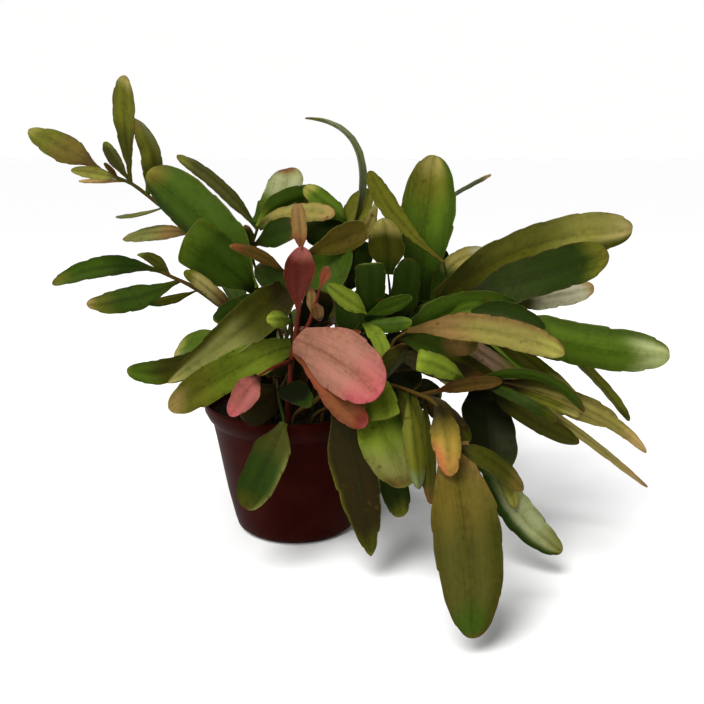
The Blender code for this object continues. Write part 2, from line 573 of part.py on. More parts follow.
SHOOTS = [
    {
        "name": "far_left_shoot", "hole": (-14, 16), "girth": 4.2, "colour": (0.16, 0.17, 0.045),
        "stem": [(262, 305, 22), (212, 243.5, 32), (158, 203.5, 38), (133, 184.5, 41), (115, 177, 43),
                 (99, 169, 46)],
        "leaves": [
            leaf((99, 169), (29, 129.5, 70), 21.5, via=(64, 147, 57), roll=25),
            leaf((132, 182), (125, 75.5, 24), 16.2, via=(126, 128, 36), roll=-30, habit="spoon"),
            leaf((131, 182), (105.6, 142, 56), 9.4, via=(114, 160.5, 48), roll=20),
            leaf((147, 195), (135, 119, 60), 15.5, via=(152.5, 157, 44), roll=30, habit="strap"),
            leaf((120, 178), (71, 170.5, 34), 8.5, via=(95, 173, 40)),
            leaf((126, 181), (79, 181, 50), 6.0, via=(102, 180, 46), roll=62),
            leaf((119, 177), (104, 163, 40), 4.5, roll=40),
            leaf((162, 209), (116, 217, 56), 8.0, via=(140, 215, 46), roll=70),
            leaf((197, 236), (123, 239.5, 58), 11.0, via=(160, 232, 44), roll=25),
            leaf((206, 242), (181, 249, 28), 8.0),
        ],
    },
    {
        "name": "upper_left_shoot", "hole": (-8, 3), "girth": 3.2, "colour": (0.055, 0.115, 0.015),
        "stem": [(278, 350, 1), (263, 310, 0), (254, 289, 1)],
        "leaves": [
            leaf((254, 289), (147, 173, 22), 33.0, via=(207, 224, 10), roll=-18, habit="strap"),
            leaf((256, 292), (184, 238, -20), 32.0, via=(222, 265, -8), roll=18, habit="cut"),
            leaf((272, 332), (237, 344, 13), 17.0, via=(255, 335, 10), roll=10, habit="band"),
        ],
    },
    {
        "name": "top_left_shoot", "hole": (-3, 20), "girth": 3.0, "colour": (0.10, 0.13, 0.025),
        "stem": [(284, 345, 18), (264, 290, 20), (252, 254, 21), (258, 226, 22)],
        "leaves": [
            leaf((257, 229), (177, 155.5, 50), 10.2, via=(219, 185, 37), roll=25, habit="strap"),
            leaf((253, 248), (245, 225, 16), 7.5),
            leaf((258, 226), (286, 169, 52), 25.0, via=(282, 198, 38), roll=-22, habit="band"),
            leaf((258, 227), (320, 195, 32), 16.5, via=(284, 203, 29), roll=28, habit="strap"),
            leaf((259, 227), (335, 214, 13), 12.5, via=(295, 213, 16), roll=-15, habit="band"),
            leaf((254, 246), (302, 227, 6), 20.0, via=(276, 234, 12), roll=-28),
        ],
    },
    {
        "name": "left_shoot", "hole": (-19, 4), "girth": 4.0, "colour": (0.065, 0.10, 0.02),
        "stem": [(268, 352, 0), (244, 322, -6), (220, 306, -11), (195, 288, -15), (170, 276, -18),
                 (161, 272, -19)],
        "leaves": [
            leaf((161, 273), (52.5, 284.5, -44), 13.6, via=(110, 266.5, -28), roll=22),
            leaf((170, 276), (137.5, 255, -12), 8.6, via=(155, 260, -16), roll=-20, habit="point"),
            leaf((178, 283), (87, 304.5, -14), 17.4, via=(134, 297, -17), roll=-25),
            leaf((198, 290), (148, 304, -34), 6.0, via=(172, 299, -24), roll=20),
            leaf((240, 318), (184, 271.5, -32), 9.0, via=(210, 290.5, -24), roll=15, habit="strap"),
            leaf((266, 349), (269, 318, -14), 13.0, via=(266, 333, -10), roll=10, habit="band"),
        ],
    },
    {
        "name": "lower_left_shoot", "hole": (-13, -9), "girth": 3.4, "colour": (0.11, 0.16, 0.025),
        "stem": [(290, 372, -22), (292, 340, -22), (289, 302, -16), (287, 274, -13)],
        "leaves": [
            leaf((292, 346), (168.9, 409, -94), 21.5, via=(236, 368, -56), roll=-15, habit="band"),
            leaf((289, 290), (168, 383, -76), 27.0, via=(238, 333, -42), roll=15, habit="wedge"),
            leaf((289, 306), (127, 369.5, -40), 16.6, via=(200, 361, -26), roll=-15,
                 habit="strap"),
            leaf((291, 320), (266.5, 320, -50), 11.6, via=(280, 319, -42), roll=15, habit="oval"),
            leaf((291, 368), (260, 367, -16), 17.0, via=(275, 363, -18), roll=10, habit="band"),
            leaf((288, 302), (214, 321, -24), 13.0, via=(250, 304, -22), habit="strap"),
            leaf((287, 275), (229.6, 246, -26), 8.2, via=(262, 256, -20), roll=20),
            leaf((288, 298), (262, 262, -9), 17.0, via=(273, 280, -14), habit="band"),
        ],
    },
    {
        "name": "over_rim_shoot", "hole": (-13, -30), "girth": 3.0, "colour": (0.055, 0.075, 0.02),
        "stem": [(276, 380, -46), (279, 400, -55), (283, 415, -61), (284, 424, -65)],
        "leaves": [
            leaf((277, 386), (240, 415, -71), 23.0, via=(262, 402, -63), roll=-12, habit="strap"),
            leaf((284, 423), (245, 508, -80), 22.8, via=(267, 463, -75), roll=14, habit="strap"),
        ],
    },
    {
        "name": "red_shoot", "hole": (-3, -24), "girth": 4.2, "colour": (0.42, 0.12, 0.10),
        "stem": [(290, 385, -33), (291, 362, -37), (295, 341, -39), (297, 324, -41),
                 (299, 310, -43)],
        "twigs": [
            [(298, 337), (307, 327, -40), (315, 305, -41), (320, 288, -42)],
            [(291, 361), (272, 368, -62), (257, 377, -70)],
        ],
        "leaves": [
            leaf((299, 312), (302, 246.5, -48), 18.8, via=(297, 280, -44), roll=18, habit="spoon"),
            leaf((302, 250), (297.5, 204, -42), 9.0, via=(300, 227, -47), roll=-15, habit="strap"),
            leaf((320, 289), (328, 266.5, -46), 6.4, habit="spoon"),
            leaf((313, 313), (311, 287, -42), 6.4, habit="oval"),
            leaf((315, 303), (320, 321, -46), 7.6, habit="oval"),
            leaf((297, 339), (379, 396, -101), 37.0, via=(342, 363, -76), roll=12, habit="drop"),
            leaf((293, 352), (367, 425, -94), 17.0, via=(333, 394, -72), roll=10, habit="spoon"),
            leaf((258, 377), (230, 416, -82), 15.5, via=(245, 393, -76), roll=-12, habit="oval"),
            leaf((300, 340), (361, 332, -60), 4.5, via=(332, 335, -54), habit="spoon"),
        ],
    },
    {
        "name": "centre_shoot", "hole": (6, -6), "girth": 3.2, "colour": (0.07, 0.12, 0.015),
        "stem": [(306, 350, -8), (304, 300, -7), (300, 256, -4)],
        "leaves": [
            leaf((300, 257), (367, 227, 3), 20.0, via=(335, 241, 0), roll=24, habit="spoon"),
            leaf((303, 300), (336, 238, 9), 27.0, via=(328, 274, 1), roll=-14, habit="strap"),
            leaf((303, 320), (352, 300, 2), 14.5, via=(330, 306, -2), roll=15),
            leaf((305, 338), (322, 290, -16), 20.0, via=(314, 314, -14), roll=10, habit="band"),
            leaf((306, 348), (297, 384, -12), 15.0, via=(300, 366, -12), roll=10, habit="band"),
        ],
    },
    {
        "name": "centre_front_shoot", "hole": (13, -15), "girth": 3.0, "colour": (0.09, 0.15, 0.015),
        "stem": [(334, 360, -20), (352, 335, -25), (367, 312, -28)],
        "leaves": [
            leaf((367, 312), (326.5, 284, -42), 12.3, via=(346, 299, -35), roll=15, habit="oval"),
            leaf((367, 313), (369.5, 263, -35), 18.5, via=(370, 287, -33), roll=-6, habit="slab"),
            leaf((362, 323), (384, 366, -56), 9.5, via=(379, 340, -42), habit="strap"),
            leaf((366, 316), (412, 297, -30), 10.5, via=(388, 306, -30), roll=20),
            leaf((358, 328), (412, 322, -34), 9.5, via=(386, 325, -31), roll=-15, habit="strap"),
            leaf((345, 345), (418, 388, -22), 22.0, via=(384, 362, -20), roll=20, habit="band"),
            leaf((352, 336), (346, 298, -12), 18.0, via=(349, 316, -18), roll=12, habit="band"),
        ],
    },
    {
        "name": "top_centre_shoot", "hole": (12, 13), "girth": 3.0, "colour": (0.12, 0.13, 0.02),
        "stem": [(320, 340, 14), (342, 290, 15), (352, 250, 16), (346, 222, 18)],
        "leaves": [
            leaf((345, 223), (304, 187, 22), 14.0, via=(327, 205, 20), roll=22, habit="strap"),
            leaf((350, 240), (371, 190, 32), 18.0, via=(357, 213, 24), roll=-22),
            leaf((351, 231), (305.4, 118.5, 40), 9.5, via=(356, 150, 27), roll=74, habit="band"),
            leaf((352, 246), (375.5, 202, 14), 11.5, via=(367, 226, 14), roll=15, habit="point"),
            leaf((346, 290), (361, 241, 19), 20.0, via=(356, 264, 18), roll=8, habit="band"),
            leaf((350, 240), (303, 231, 27), 21.0, via=(326, 232, 25), habit="strap"),
        ],
    },
    {
        "name": "upright_shoot", "hole": (24, 9), "girth": 3.4, "colour": (0.085, 0.14, 0.02),
        "stem": [(352, 345, 12), (385, 320, 17), (420, 306, 22)],
        "twigs": [
            [(386, 319), (390, 296, 13), (388, 273, 9)],
        ],
        "leaves": [
            leaf((420, 306), (435, 155.5, 38), 38.0, via=(424, 232, 27), roll=18, habit="paddle"),
            leaf((420, 305), (445, 250, 34), 10.5, via=(437, 278, 28), roll=20),
            leaf((436, 212), (491, 174.5, 56), 6.0, via=(462, 189.5, 52), roll=66, habit="band"),
            leaf((388, 274), (383, 218, 2), 24.0, via=(387, 244, 6), roll=-14, habit="oval"),
            leaf((356, 342), (392, 298, 24), 20.0, via=(372, 318, 19), roll=12, habit="band"),
            leaf((388, 318), (446, 324, 13), 22.0, via=(418, 316, 14), roll=8, habit="band"),
        ],
    },
    {
        "name": "right_upper_shoot", "hole": (33, -1), "girth": 3.4, "colour": (0.13, 0.14, 0.02),
        "stem": [(358, 350, 2), (400, 320, 3), (436, 300, 5), (472, 299, 2), (510, 303, -2)],
        "twigs": [
            [(437, 300), (447, 282, 5), (443, 261, 5)],
        ],
        "leaves": [
            leaf((438, 299), (632, 230, 36), 29.5, via=(531, 245.5, 20), roll=20, habit="band"),
            leaf((472, 299), (609, 256, -30), 27.5, via=(541, 275, -8), roll=-18, habit="band"),
            leaf((508, 303), (594, 288, 10), 16.0, via=(551, 296, 5), roll=15, habit="strap"),
            leaf((434, 301), (488, 253, 38), 13.0, via=(453, 265, 24), roll=-15, habit="band"),
            leaf((443, 262), (369, 171, 4), 13.5, via=(398, 219, 6), roll=20, habit="spoon"),
            leaf((400, 320), (409, 258, 2), 18.0, via=(405, 290, 2), roll=10, habit="band"),
        ],
    },
    {
        "name": "right_shoot", "hole": (29, -13), "girth": 3.4, "colour": (0.10, 0.15, 0.02),
        "stem": [(352, 368, -15), (398, 338, -20), (445, 318, -24), (478, 316, -26)],
        "leaves": [
            leaf((478, 318), (669.5, 354, -74), 26.6, via=(573, 344, -44), roll=14, habit="strap"),
            leaf((458, 317), (546, 333, -44), 17.0, via=(502, 315, -34), roll=-15),
            leaf((446, 318), (486, 307, -26), 9.0, via=(466, 309, -26)),
            leaf((406, 334), (522, 312, -10), 17.0, via=(460, 306, -15), roll=10, habit="band"),
            leaf((412, 330), (504, 388, -34), 17.0, via=(460, 353, -30), roll=15, habit="band"),
            leaf((440, 319), (553, 394, -36), 23.0, via=(501, 354, -28), roll=-12, habit="strap"),
            leaf((432, 323), (535, 392, -46), 10.5, via=(484, 354, -40), roll=12, habit="strap"),
            leaf((462, 318), (556, 398, -52), 9.0, via=(512, 354, -42), roll=-10, habit="strap"),
            leaf((478, 322), (580, 404, -58), 9.5, via=(532, 362, -50), roll=14, habit="strap"),
            leaf((548, 352), (629, 421, -42), 8.0, via=(597, 380, -38), roll=45, habit="strap"),
            leaf((354, 367), (434, 354, -4), 22.0, via=(394, 350, -9), roll=-10, habit="band"),
            leaf((352, 371), (442, 394, -22), 21.0, via=(396, 388, -16), roll=10, habit="band"),
        ],
    },
    {
        "name": "tan_shoot", "hole": (20, -26), "girth": 3.0, "colour": (0.33, 0.27, 0.07),
        "stem": [(352, 388, -32), (386, 366, -42), (393, 342, -46), (408, 331, -49)],
        "leaves": [
            leaf((408, 331), (564, 355, -92), 17.5, via=(486, 331, -68), roll=-20, habit="strap"),
            leaf((398, 338), (478, 344, -46), 16.5, via=(438, 342, -45), habit="strap"),
            leaf((392, 350), (484, 380, -56), 13.5, via=(438, 368, -52), roll=-12, habit="strap"),
        ],
    },
    {
        "name": "right_low_shoot", "hole": (38, -25), "girth": 3.2, "colour": (0.14, 0.13, 0.035),
        "stem": [(380, 398, -34), (412, 396, -46), (442, 390, -56), (470, 383, -62),
                 (492, 380, -66)],
        "leaves": [
            leaf((492, 380), (647.5, 487, -104), 9.0, via=(563, 420, -82), roll=58),
            leaf((470, 383), (617, 423, -70), 16.5, via=(551, 396, -66), roll=22, habit="strap"),
            leaf((466, 384), (584, 412, -92), 7.0, via=(534, 376, -80), roll=40, habit="strap"),
            leaf((480, 381), (580, 416, -102), 6.5, via=(532, 395, -88), roll=35, habit="strap"),
            leaf((468, 384), (417, 359, -74), 13.0, via=(442, 367, -72), roll=-15, habit="cut"),
            leaf((436, 391), (502, 381, -78), 8.0, via=(468, 384, -72), roll=18, habit="strap"),
            leaf((484, 381), (579, 443, -84), 12.0, via=(525, 415, -78), roll=22, habit="strap"),
            leaf((490, 380), (646, 452.5, -92), 8.5, via=(586, 408.5, -86), roll=15),
            leaf((478, 382), (556, 421, -96), 6.5, via=(518, 399, -88), roll=-20, habit="strap"),
        ],
    },
    {
        "name": "lower_right_shoot", "hole": (26, -34), "girth": 3.2, "colour": (0.05, 0.075, 0.015),
        "stem": [(366, 402, -40), (408, 404, -36), (448, 389, -38), (480, 390, -46)],
        "leaves": [
            leaf((480, 390), (492, 475, -84), 30.0, via=(488, 430, -68), roll=-14, habit="band"),
            leaf((480, 390), (514, 485, -72), 11.0, via=(494, 435, -60), roll=40, habit="strap"),
            leaf((474, 389), (515, 508, -72), 11.5, via=(497, 450, -58), roll=-20, habit="strap"),
            leaf((472, 389), (562, 552, -82), 20.5, via=(501, 486, -62), roll=8, habit="spoon"),
        ],
    },
    {
        "name": "front_drooping_shoot", "hole": (14, -38), "girth": 3.2,
        "colour": (0.19, 0.18, 0.06),
        "stem": [(346, 402, -48), (380, 385, -58), (412, 392, -82), (438, 407, -101),
                 (454, 448, -120)],
        "leaves": [
            leaf((450, 444), (473.5, 638, -160), 35.5, via=(466, 543, -146), roll=-14, habit="drop"),
            leaf((438, 407), (450, 476, -134), 15.5, via=(447, 440, -125), roll=12, habit="oval"),
            leaf((425, 399), (431, 504, -112), 12.0, via=(430, 454, -106), roll=45),
            leaf((408, 391), (419, 489, -112), 12.3, via=(414, 440, -102), roll=-15),
            leaf((396, 388), (418, 438, -96), 13.0, via=(411, 411, -86), roll=15, habit="strap"),
            leaf((451, 446), (523, 490, -122), 11.0, via=(491, 461, -124), roll=-24, habit="strap"),
            leaf((424, 398), (468, 444, -104), 12.0, via=(447, 418, -98), roll=10, habit="band"),
        ],
    },
    {
        "name": "front_middle_shoot", "hole": (2, -39), "girth": 3.2, "colour": (0.17, 0.23, 0.03),
        "stem": [(316, 400, -52), (332, 382, -54), (346, 362, -56)],
        "leaves": [
            leaf((346, 362), (406, 487, -100), 32.5, via=(379, 424, -80), roll=-14,
                 habit="spoon"),
            leaf((334, 380), (371, 556, -86), 30.0, via=(357.5, 478, -77), roll=18, habit="point"),
            leaf((346, 363), (386, 419, -89), 18.0, via=(375, 390, -74), roll=10, habit="cut"),
            leaf((340, 372), (400, 517, -72), 18.5, via=(383, 458, -66), roll=-20, habit="spoon"),
        ],
    },
]


def inner_growth(shoot):
    """How a shoot that is placed one by one fills its lower stem with short cladodes."""
    x, y = shoot["hole"]
    return {
        "count": 2, "from": 0.25, "to": 0.50, "bearing": math.degrees(math.atan2(y, x)),
        "spread": 110, "rise": (10, 60), "length": (28, 46), "droop": (0, 8), "width": (13, 19),
    }


def back_shoots():
    """The shoots on the far side, set out by their bearing round the pot."""
    plan = [
        ("back_left_shoot", (-24, 24), 118, 42, 62),
        ("back_shoot", (-8, 36), 96, 30, 74),
        ("back_right_shoot", (14, 32), 72, 36, 72),
        ("side_right_shoot", (35, 20), 48, 28, 70),
        ("back_low_shoot", (-32, 10), 146, 26, 46),
    ]
    shoots = []
    for name, hole, bearing, rise, reach in plan:
        angle = math.radians(bearing)
        outward = Vector((math.cos(angle), math.sin(angle), 0.0))
        foot = Vector((hole[0] * MM, hole[1] * MM, STEM_STRAIGHT_TOP))
        climb = Vector((0, 0, math.sin(math.radians(rise))))
        knee = foot + outward * reach * 0.2 * MM + Vector((0, 0, 16 * MM))
        end = foot + (outward * math.cos(math.radians(rise)) + climb) * reach * MM
        shoots.append({
            "name": name, "hole": hole, "girth": 3.2, "colour": (0.085, 0.13, 0.02),
            "stem": [(*seen(point), point.y / MM) for point in (knee, end)],
            "leaves": [],
            "grown": {
                "count": 8, "from": 0.30, "to": 1.0, "bearing": bearing, "spread": 66,
                "rise": (rise - 40, rise + 26), "length": (54, 92), "droop": (12, 44),
                "width": (18, 27),
            },
        })
    return shoots


def main():
    """Clear the scene and build the pot, the soil and every shoot."""
    for item in list(bpy.data.objects):
        bpy.data.objects.remove(item)
    for shoot in SHOOTS:
        shoot["grown"] = inner_growth(shoot)
    shoots = SHOOTS + back_shoots()
    build_pot()
    build_soil([
        (shoot["hole"][0] * MM, shoot["hole"][1] * MM, shoot["girth"] * MM / 2) for shoot in shoots
    ])
    layouts = [lay_out(shoot) for shoot in shoots]
    grow(layouts)
    for layout in layouts:
        build_shoot(layout)


main()
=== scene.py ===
import math
import random

import bpy
import numpy as np
from mathutils import Matrix, Vector, kdtree, noise


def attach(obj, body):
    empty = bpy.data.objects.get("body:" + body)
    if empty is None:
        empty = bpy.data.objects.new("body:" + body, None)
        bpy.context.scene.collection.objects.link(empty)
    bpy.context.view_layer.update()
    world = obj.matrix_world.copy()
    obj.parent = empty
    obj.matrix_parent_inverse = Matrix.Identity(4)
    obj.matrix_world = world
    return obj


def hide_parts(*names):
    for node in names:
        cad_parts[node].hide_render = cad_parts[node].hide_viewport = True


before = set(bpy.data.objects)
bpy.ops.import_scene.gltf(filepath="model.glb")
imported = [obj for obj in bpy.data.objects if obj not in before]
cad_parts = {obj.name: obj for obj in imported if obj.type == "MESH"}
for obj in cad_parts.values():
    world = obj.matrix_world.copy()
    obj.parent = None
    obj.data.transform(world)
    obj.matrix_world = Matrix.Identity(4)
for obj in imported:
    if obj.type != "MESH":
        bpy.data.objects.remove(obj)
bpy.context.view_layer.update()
print("frame loaded:", len(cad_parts), "solids")

mm = 0.001

# the camera of the photo; a place (u, v) is measured in its square picture, 704 wide
view = {
    "eye": Vector((37.5, -520.0, 244.0)) * mm,
    "down": math.radians(13.6),
    "focal": 816.0,
    "centre": 352.0,
    "width": 704,
}
ahead = Vector((0.0, math.cos(view["down"]), -math.sin(view["down"])))
upward = Vector((0.0, math.sin(view["down"]), math.cos(view["down"])))

# how the tones look in even light, as 0-255 screen values; mint and sheen and the two pale tones after
# sheen are painted highlights, and pine, the near-black, stands mostly for painted shade in the crown and
# at the pad roots
tones = {
    "pine": (14, 18, 4), "forest": (33, 50, 9), "green": (54, 75, 18), "leaf": (75, 97, 26),
    "bright": (106, 124, 36), "lime": (124, 142, 46), "mint": (154, 163, 104),
    "lichen": (100, 112, 70), "sheen": (172, 172, 134), "silver": (208, 204, 166),
    "frost": (146, 152, 104), "drab": (58, 60, 15), "moss": (74, 72, 30), "olive": (94, 96, 30),
    "sage": (114, 116, 60), "straw": (122, 114, 56), "bark": (96, 84, 32), "khaki": (142, 132, 68),
    "mustard": (138, 136, 62), "wheat": (165, 154, 88), "tan": (168, 140, 84),
    "fawn": (122, 96, 54), "peach": (148, 112, 54), "honey": (138, 116, 46),
    "apricot": (160, 98, 56), "brown": (80, 60, 26), "umber": (36, 28, 10), "brick": (108, 64, 36),
    "rust": (124, 66, 42), "garnet": (100, 40, 28), "wine": (96, 42, 30), "rose": (166, 94, 84),
    "salmon": (176, 118, 96), "pink": (172, 86, 86), "coral": (176, 84, 86), "blush": (156, 90, 80),
    "clay": (158, 108, 88), "mauve": (120, 98, 74),
}
studioGain = 1.56   # the studio light is this much stronger than even light


def linear(name):
    return tuple((value / 255) ** 2.2 / studioGain for value in tones[name])


def place(u, v, depth):
    across = (u - view["centre"]) / view["focal"]
    above = (view["centre"] - v) / view["focal"]
    ray = ahead + Vector((across, 0.0, 0.0)) + upward * above
    return view["eye"] + ray * ((depth * mm - view["eye"].y) / ray.y)


def seen(point):
    offset = point - view["eye"]
    away = offset.dot(ahead)
    return Vector((
        view["centre"] + view["focal"] * offset.x / away,
        view["centre"] - view["focal"] * offset.dot(upward) / away,
    ))


def padItem(width, roll, tone, habit="lance", edge=None):
    return {"width": width, "roll": roll, "tone": tone, "habit": habit, "edge": edge}


# share of the width at the root, where it is widest, where the tip starts, how round the tip is
habits = {
    "lance": (0.16, 0.50, 0.50, 2.0),
    "strap": (0.22, 0.36, 0.66, 2.2),
    "spoon": (0.14, 0.66, 0.66, 2.1),
    "oval": (0.30, 0.42, 0.42, 2.0),
    "point": (0.20, 0.42, 0.36, 1.45),
    "cut": (0.22, 0.55, 0.92, 4.0),
    "band": (0.50, 0.30, 0.70, 2.2),
    "paddle": (0.42, 0.62, 0.62, 2.0),
    "wedge": (0.62, 0.22, 0.30, 1.5),
    "drop": (0.46, 0.40, 0.46, 1.9),
    "slab": (0.78, 0.30, 0.84, 3.0),
}

# each row of pads has a root (u, v), a place to pass and a tip, both (u, v, depth), and then
# width in mm, roll in degrees, tones from root to tip, habit, and the tone of one edge: its name,
# its side, how far across it starts and how far along
# the broad band pads toned only in pine, umber and forest fill the dark gaps of the crown: their
# near-black is painted shade
farLeftShoot = {
    "node": "far_left_shoot", "slot": "olive_cladode", "hole": (-14, 16), "girth": 4.2,
    "stem": [(262, 305, 22), (212, 243.5, 32), (158, 203.5, 38), (133, 184.5, 41), (115, 177, 43),
             (99, 169, 46)],
    "stemTones": "brown brown drab",
    "pads": [
        ((99, 169), (64, 147, 57), (29, 129.5, 70), 21.5, 25, "brown 25 bark 62 olive 92 mustard"),
        ((132, 182), (126, 128, 36), (125, 75.5, 24), 16.2, -30, "drab 50 olive 93 wheat", "spoon"),
        ((131, 182), (114, 160.5, 48), (105.6, 142, 56), 9.4, 20, "drab drab olive"),
        ((147, 195), (152.5, 157, 44), (135, 119, 60), 15.5, 30, "green drab olive bark", "strap"),
        ((120, 178), (95, 173, 40), (71, 170.5, 34), 8.5, 0, "brown mustard mustard"),
        ((126, 181), (102, 180, 46), (79, 181, 50), 6, 62, "brown tan tan"),
        ((119, 177), None, (104, 163, 40), 4.5, 40, "brown brown brown"),
        ((162, 209), (140, 215, 46), (116, 217, 56), 8, 70, "lichen olive lichen"),
        ((197, 236), (160, 232, 44), (123, 239.5, 58), 11, 25, "forest 15 fawn 50 sage"),
        ((206, 242), None, (181, 249, 28), 8, 0, "forest forest green"),
    ],
}

upperLeftShoot = {
    "node": "upper_left_shoot", "slot": "green_cladode", "hole": (-8, 3), "girth": 3.2,
    "stem": [(278, 350, 1), (263, 310, 0), (254, 289, 1)],
    "stemTones": "umber umber forest",
    "pads": [
        ((254, 289), (207, 224, 10), (147, 173, 22), 33, -18, "leaf green green 93 bark", "strap",
         ("forest", 1, 0.4, 0.1)),
        ((256, 292), (222, 265, -8), (184, 238, -20), 32, 18, "pine 16 green 50 green 80 leaf", "cut"),
        ((272, 332), (255, 335, 10), (237, 344, 13), 17, 10, "pine pine umber", "band"),
    ],
}

topLeftShoot = {
    "node": "top_left_shoot", "slot": "olive_cladode", "hole": (-3, 20), "girth": 3,
    "stem": [(284, 345, 18), (264, 290, 20), (252, 254, 21), (258, 226, 22)],
    "stemTones": "umber brown drab",
    "pads": [
        ((257, 229), (219, 185, 37), (177, 155.5, 50), 10.2, 25, "forest drab drab olive", "strap"),
        ((253, 248), None, (245, 225, 16), 7.5, 0, "umber drab fawn"),
        # the pale grey part of this pad is a painted highlight
        ((258, 226), (282, 198, 38), (286, 169, 52), 25, -22, "green 22 leaf 44 frost 92 brick", "band"),
        ((258, 227), (284, 203, 29), (320, 195, 32), 16.5, 28, "bright green olive", "strap"),
        ((259, 227), (295, 213, 16), (335, 214, 13), 12.5, -15, "drab khaki khaki tan", "band"),
        ((254, 246), (276, 234, 12), (302, 227, 6), 20, -28, "umber forest brick"),
    ],
}

leftShoot = {
    "node": "left_shoot", "slot": "dark_cladode", "hole": (-19, 4), "girth": 4,
    "stem": [(268, 352, 0), (244, 322, -6), (220, 306, -11), (195, 288, -15), (170, 276, -18),
             (161, 272, -19)],
    "stemTones": "umber brown brown",
    "pads": [
        ((161, 273), (110, 266.5, -28), (52.5, 284.5, -44), 13.6, 22, "drab 12 forest 50 green 90 olive"),
        ((170, 276), (155, 260, -16), (137.5, 255, -12), 8.6, -20, "drab drab olive", "point"),
        ((178, 283), (134, 297, -17), (87, 304.5, -14), 17.4, -25, "drab green 75 olive 95 tan"),
        ((198, 290), (172, 299, -24), (148, 304, -34), 6, 20, "drab drab forest"),
        ((240, 318), (210, 290.5, -24), (184, 271.5, -32), 9, 15, "brown 12 fawn 40 wheat 80 olive",
         "strap"),
        ((266, 349), (266, 333, -10), (269, 318, -14), 13, 10, "pine pine forest", "band"),
    ],
}

lowerLeftShoot = {
    "node": "lower_left_shoot", "slot": "green_cladode", "hole": (-13, -9), "girth": 3.4,
    "stem": [(290, 372, -22), (292, 340, -22), (289, 302, -16), (287, 274, -13)],
    "stemTones": "umber brown forest",
    "pads": [
        ((292, 346), (236, 368, -56), (168.9, 409, -94), 21.5, -15,
         "lime 14 lime 45 bright 70 olive 94 tan", "band"),
        ((289, 290), (238, 333, -42), (168, 383, -76), 27, 15, "umber 18 drab 48 sage 94 wheat", "wedge",
         ("drab", -1, 0.3, 0.05)),
        ((289, 306), (200, 361, -26), (127, 369.5, -40), 16.6, -15, "forest drab 80 leaf", "strap"),
        ((291, 320), (280, 319, -42), (266.5, 320, -50), 11.6, 15, "lime lime lime", "oval"),
        ((291, 368), (275, 363, -18), (260, 367, -16), 17, 10, "pine umber pine", "band"),
        ((288, 302), (250, 304, -22), (214, 321, -24), 13, 0, "umber forest forest", "strap"),
        ((287, 275), (262, 256, -20), (229.6, 246, -26), 8.2, 20, "umber brown brick"),
        ((288, 298), (273, 280, -14), (262, 262, -9), 17, 0, "pine forest umber", "band"),
    ],
}

overRimShoot = {
    "node": "over_rim_shoot", "slot": "dark_cladode", "hole": (-13, -30), "girth": 3,
    "stem": [(276, 380, -46), (279, 400, -55), (283, 415, -61), (284, 424, -65)],
    "stemTones": "umber umber forest",
    "pads": [
        ((277, 386), (262, 402, -63), (240, 415, -71), 23, -12, "pine umber umber", "strap"),
        # the sage edge of this pad is a painted highlight on its lit side
        ((284, 423), (267, 463, -75), (245, 508, -80), 22.8, 14, "drab 40 forest 88 drab", "strap",
         ("sage", 1, 0.62, 0.2)),
    ],
}

redShoot = {
    "node": "red_shoot", "slot": "red_cladode", "hole": (-3, -24), "girth": 4.2,
    "stem": [(290, 385, -33), (291, 362, -37), (295, 341, -39), (297, 324, -41), (299, 310, -43)],
    "twigs": [
        [(298, 337), (307, 327, -40), (315, 305, -41), (320, 288, -42)],
        [(291, 361), (272, 368, -62), (257, 377, -70)],
    ],
    "stemTones": "umber garnet wine",
    "pads": [
        ((299, 312), (297, 280, -44), (302, 246.5, -48), 18.8, 18, "wine wine rose", "spoon"),
        ((302, 250), (300, 227, -47), (297.5, 204, -42), 9, -15, "brick 30 fawn 85 fawn", "strap"),
        ((320, 289), None, (328, 266.5, -46), 6.4, 0, "rust rust brick", "spoon"),
        ((313, 313), None, (311, 287, -42), 6.4, 0, "fawn fawn brick", "oval"),
        ((315, 303), None, (320, 321, -46), 7.6, 0, "brick brown umber", "oval"),
        ((297, 339), (342, 363, -76), (379, 396, -101), 37, 12, "clay 70 rose 92 coral", "drop",
         ("coral", -1, 0.3, 0.5)),
        ((293, 352), (333, 394, -72), (367, 425, -94), 17, 10, "brick 14 rust brick garnet", "spoon"),
        ((258, 377), (245, 393, -76), (230, 416, -82), 15.5, -12, "umber blush pink", "oval"),
        ((300, 340), (332, 335, -54), (361, 332, -60), 4.5, 0, "blush salmon 75 brick", "spoon"),
    ],
}

centreShoot = {
    "node": "centre_shoot", "slot": "green_cladode", "hole": (6, -6), "girth": 3.2,
    "stem": [(306, 350, -8), (304, 300, -7), (300, 256, -4)],
    "stemTones": "umber brick brown",
    "pads": [
        ((300, 257), (335, 241, 0), (367, 227, 3), 20, 24, "umber bark bark", "spoon"),
        ((303, 300), (328, 274, 1), (336, 238, 9), 27, -14, "pine green green green", "strap"),
        ((303, 320), (330, 306, -2), (352, 300, 2), 14.5, 15, "brown mustard bright"),
        ((305, 338), (314, 314, -14), (322, 290, -16), 20, 10, "pine pine umber", "band"),
        ((306, 348), (300, 366, -12), (297, 384, -12), 15, 10, "pine umber umber", "band"),
    ],
}

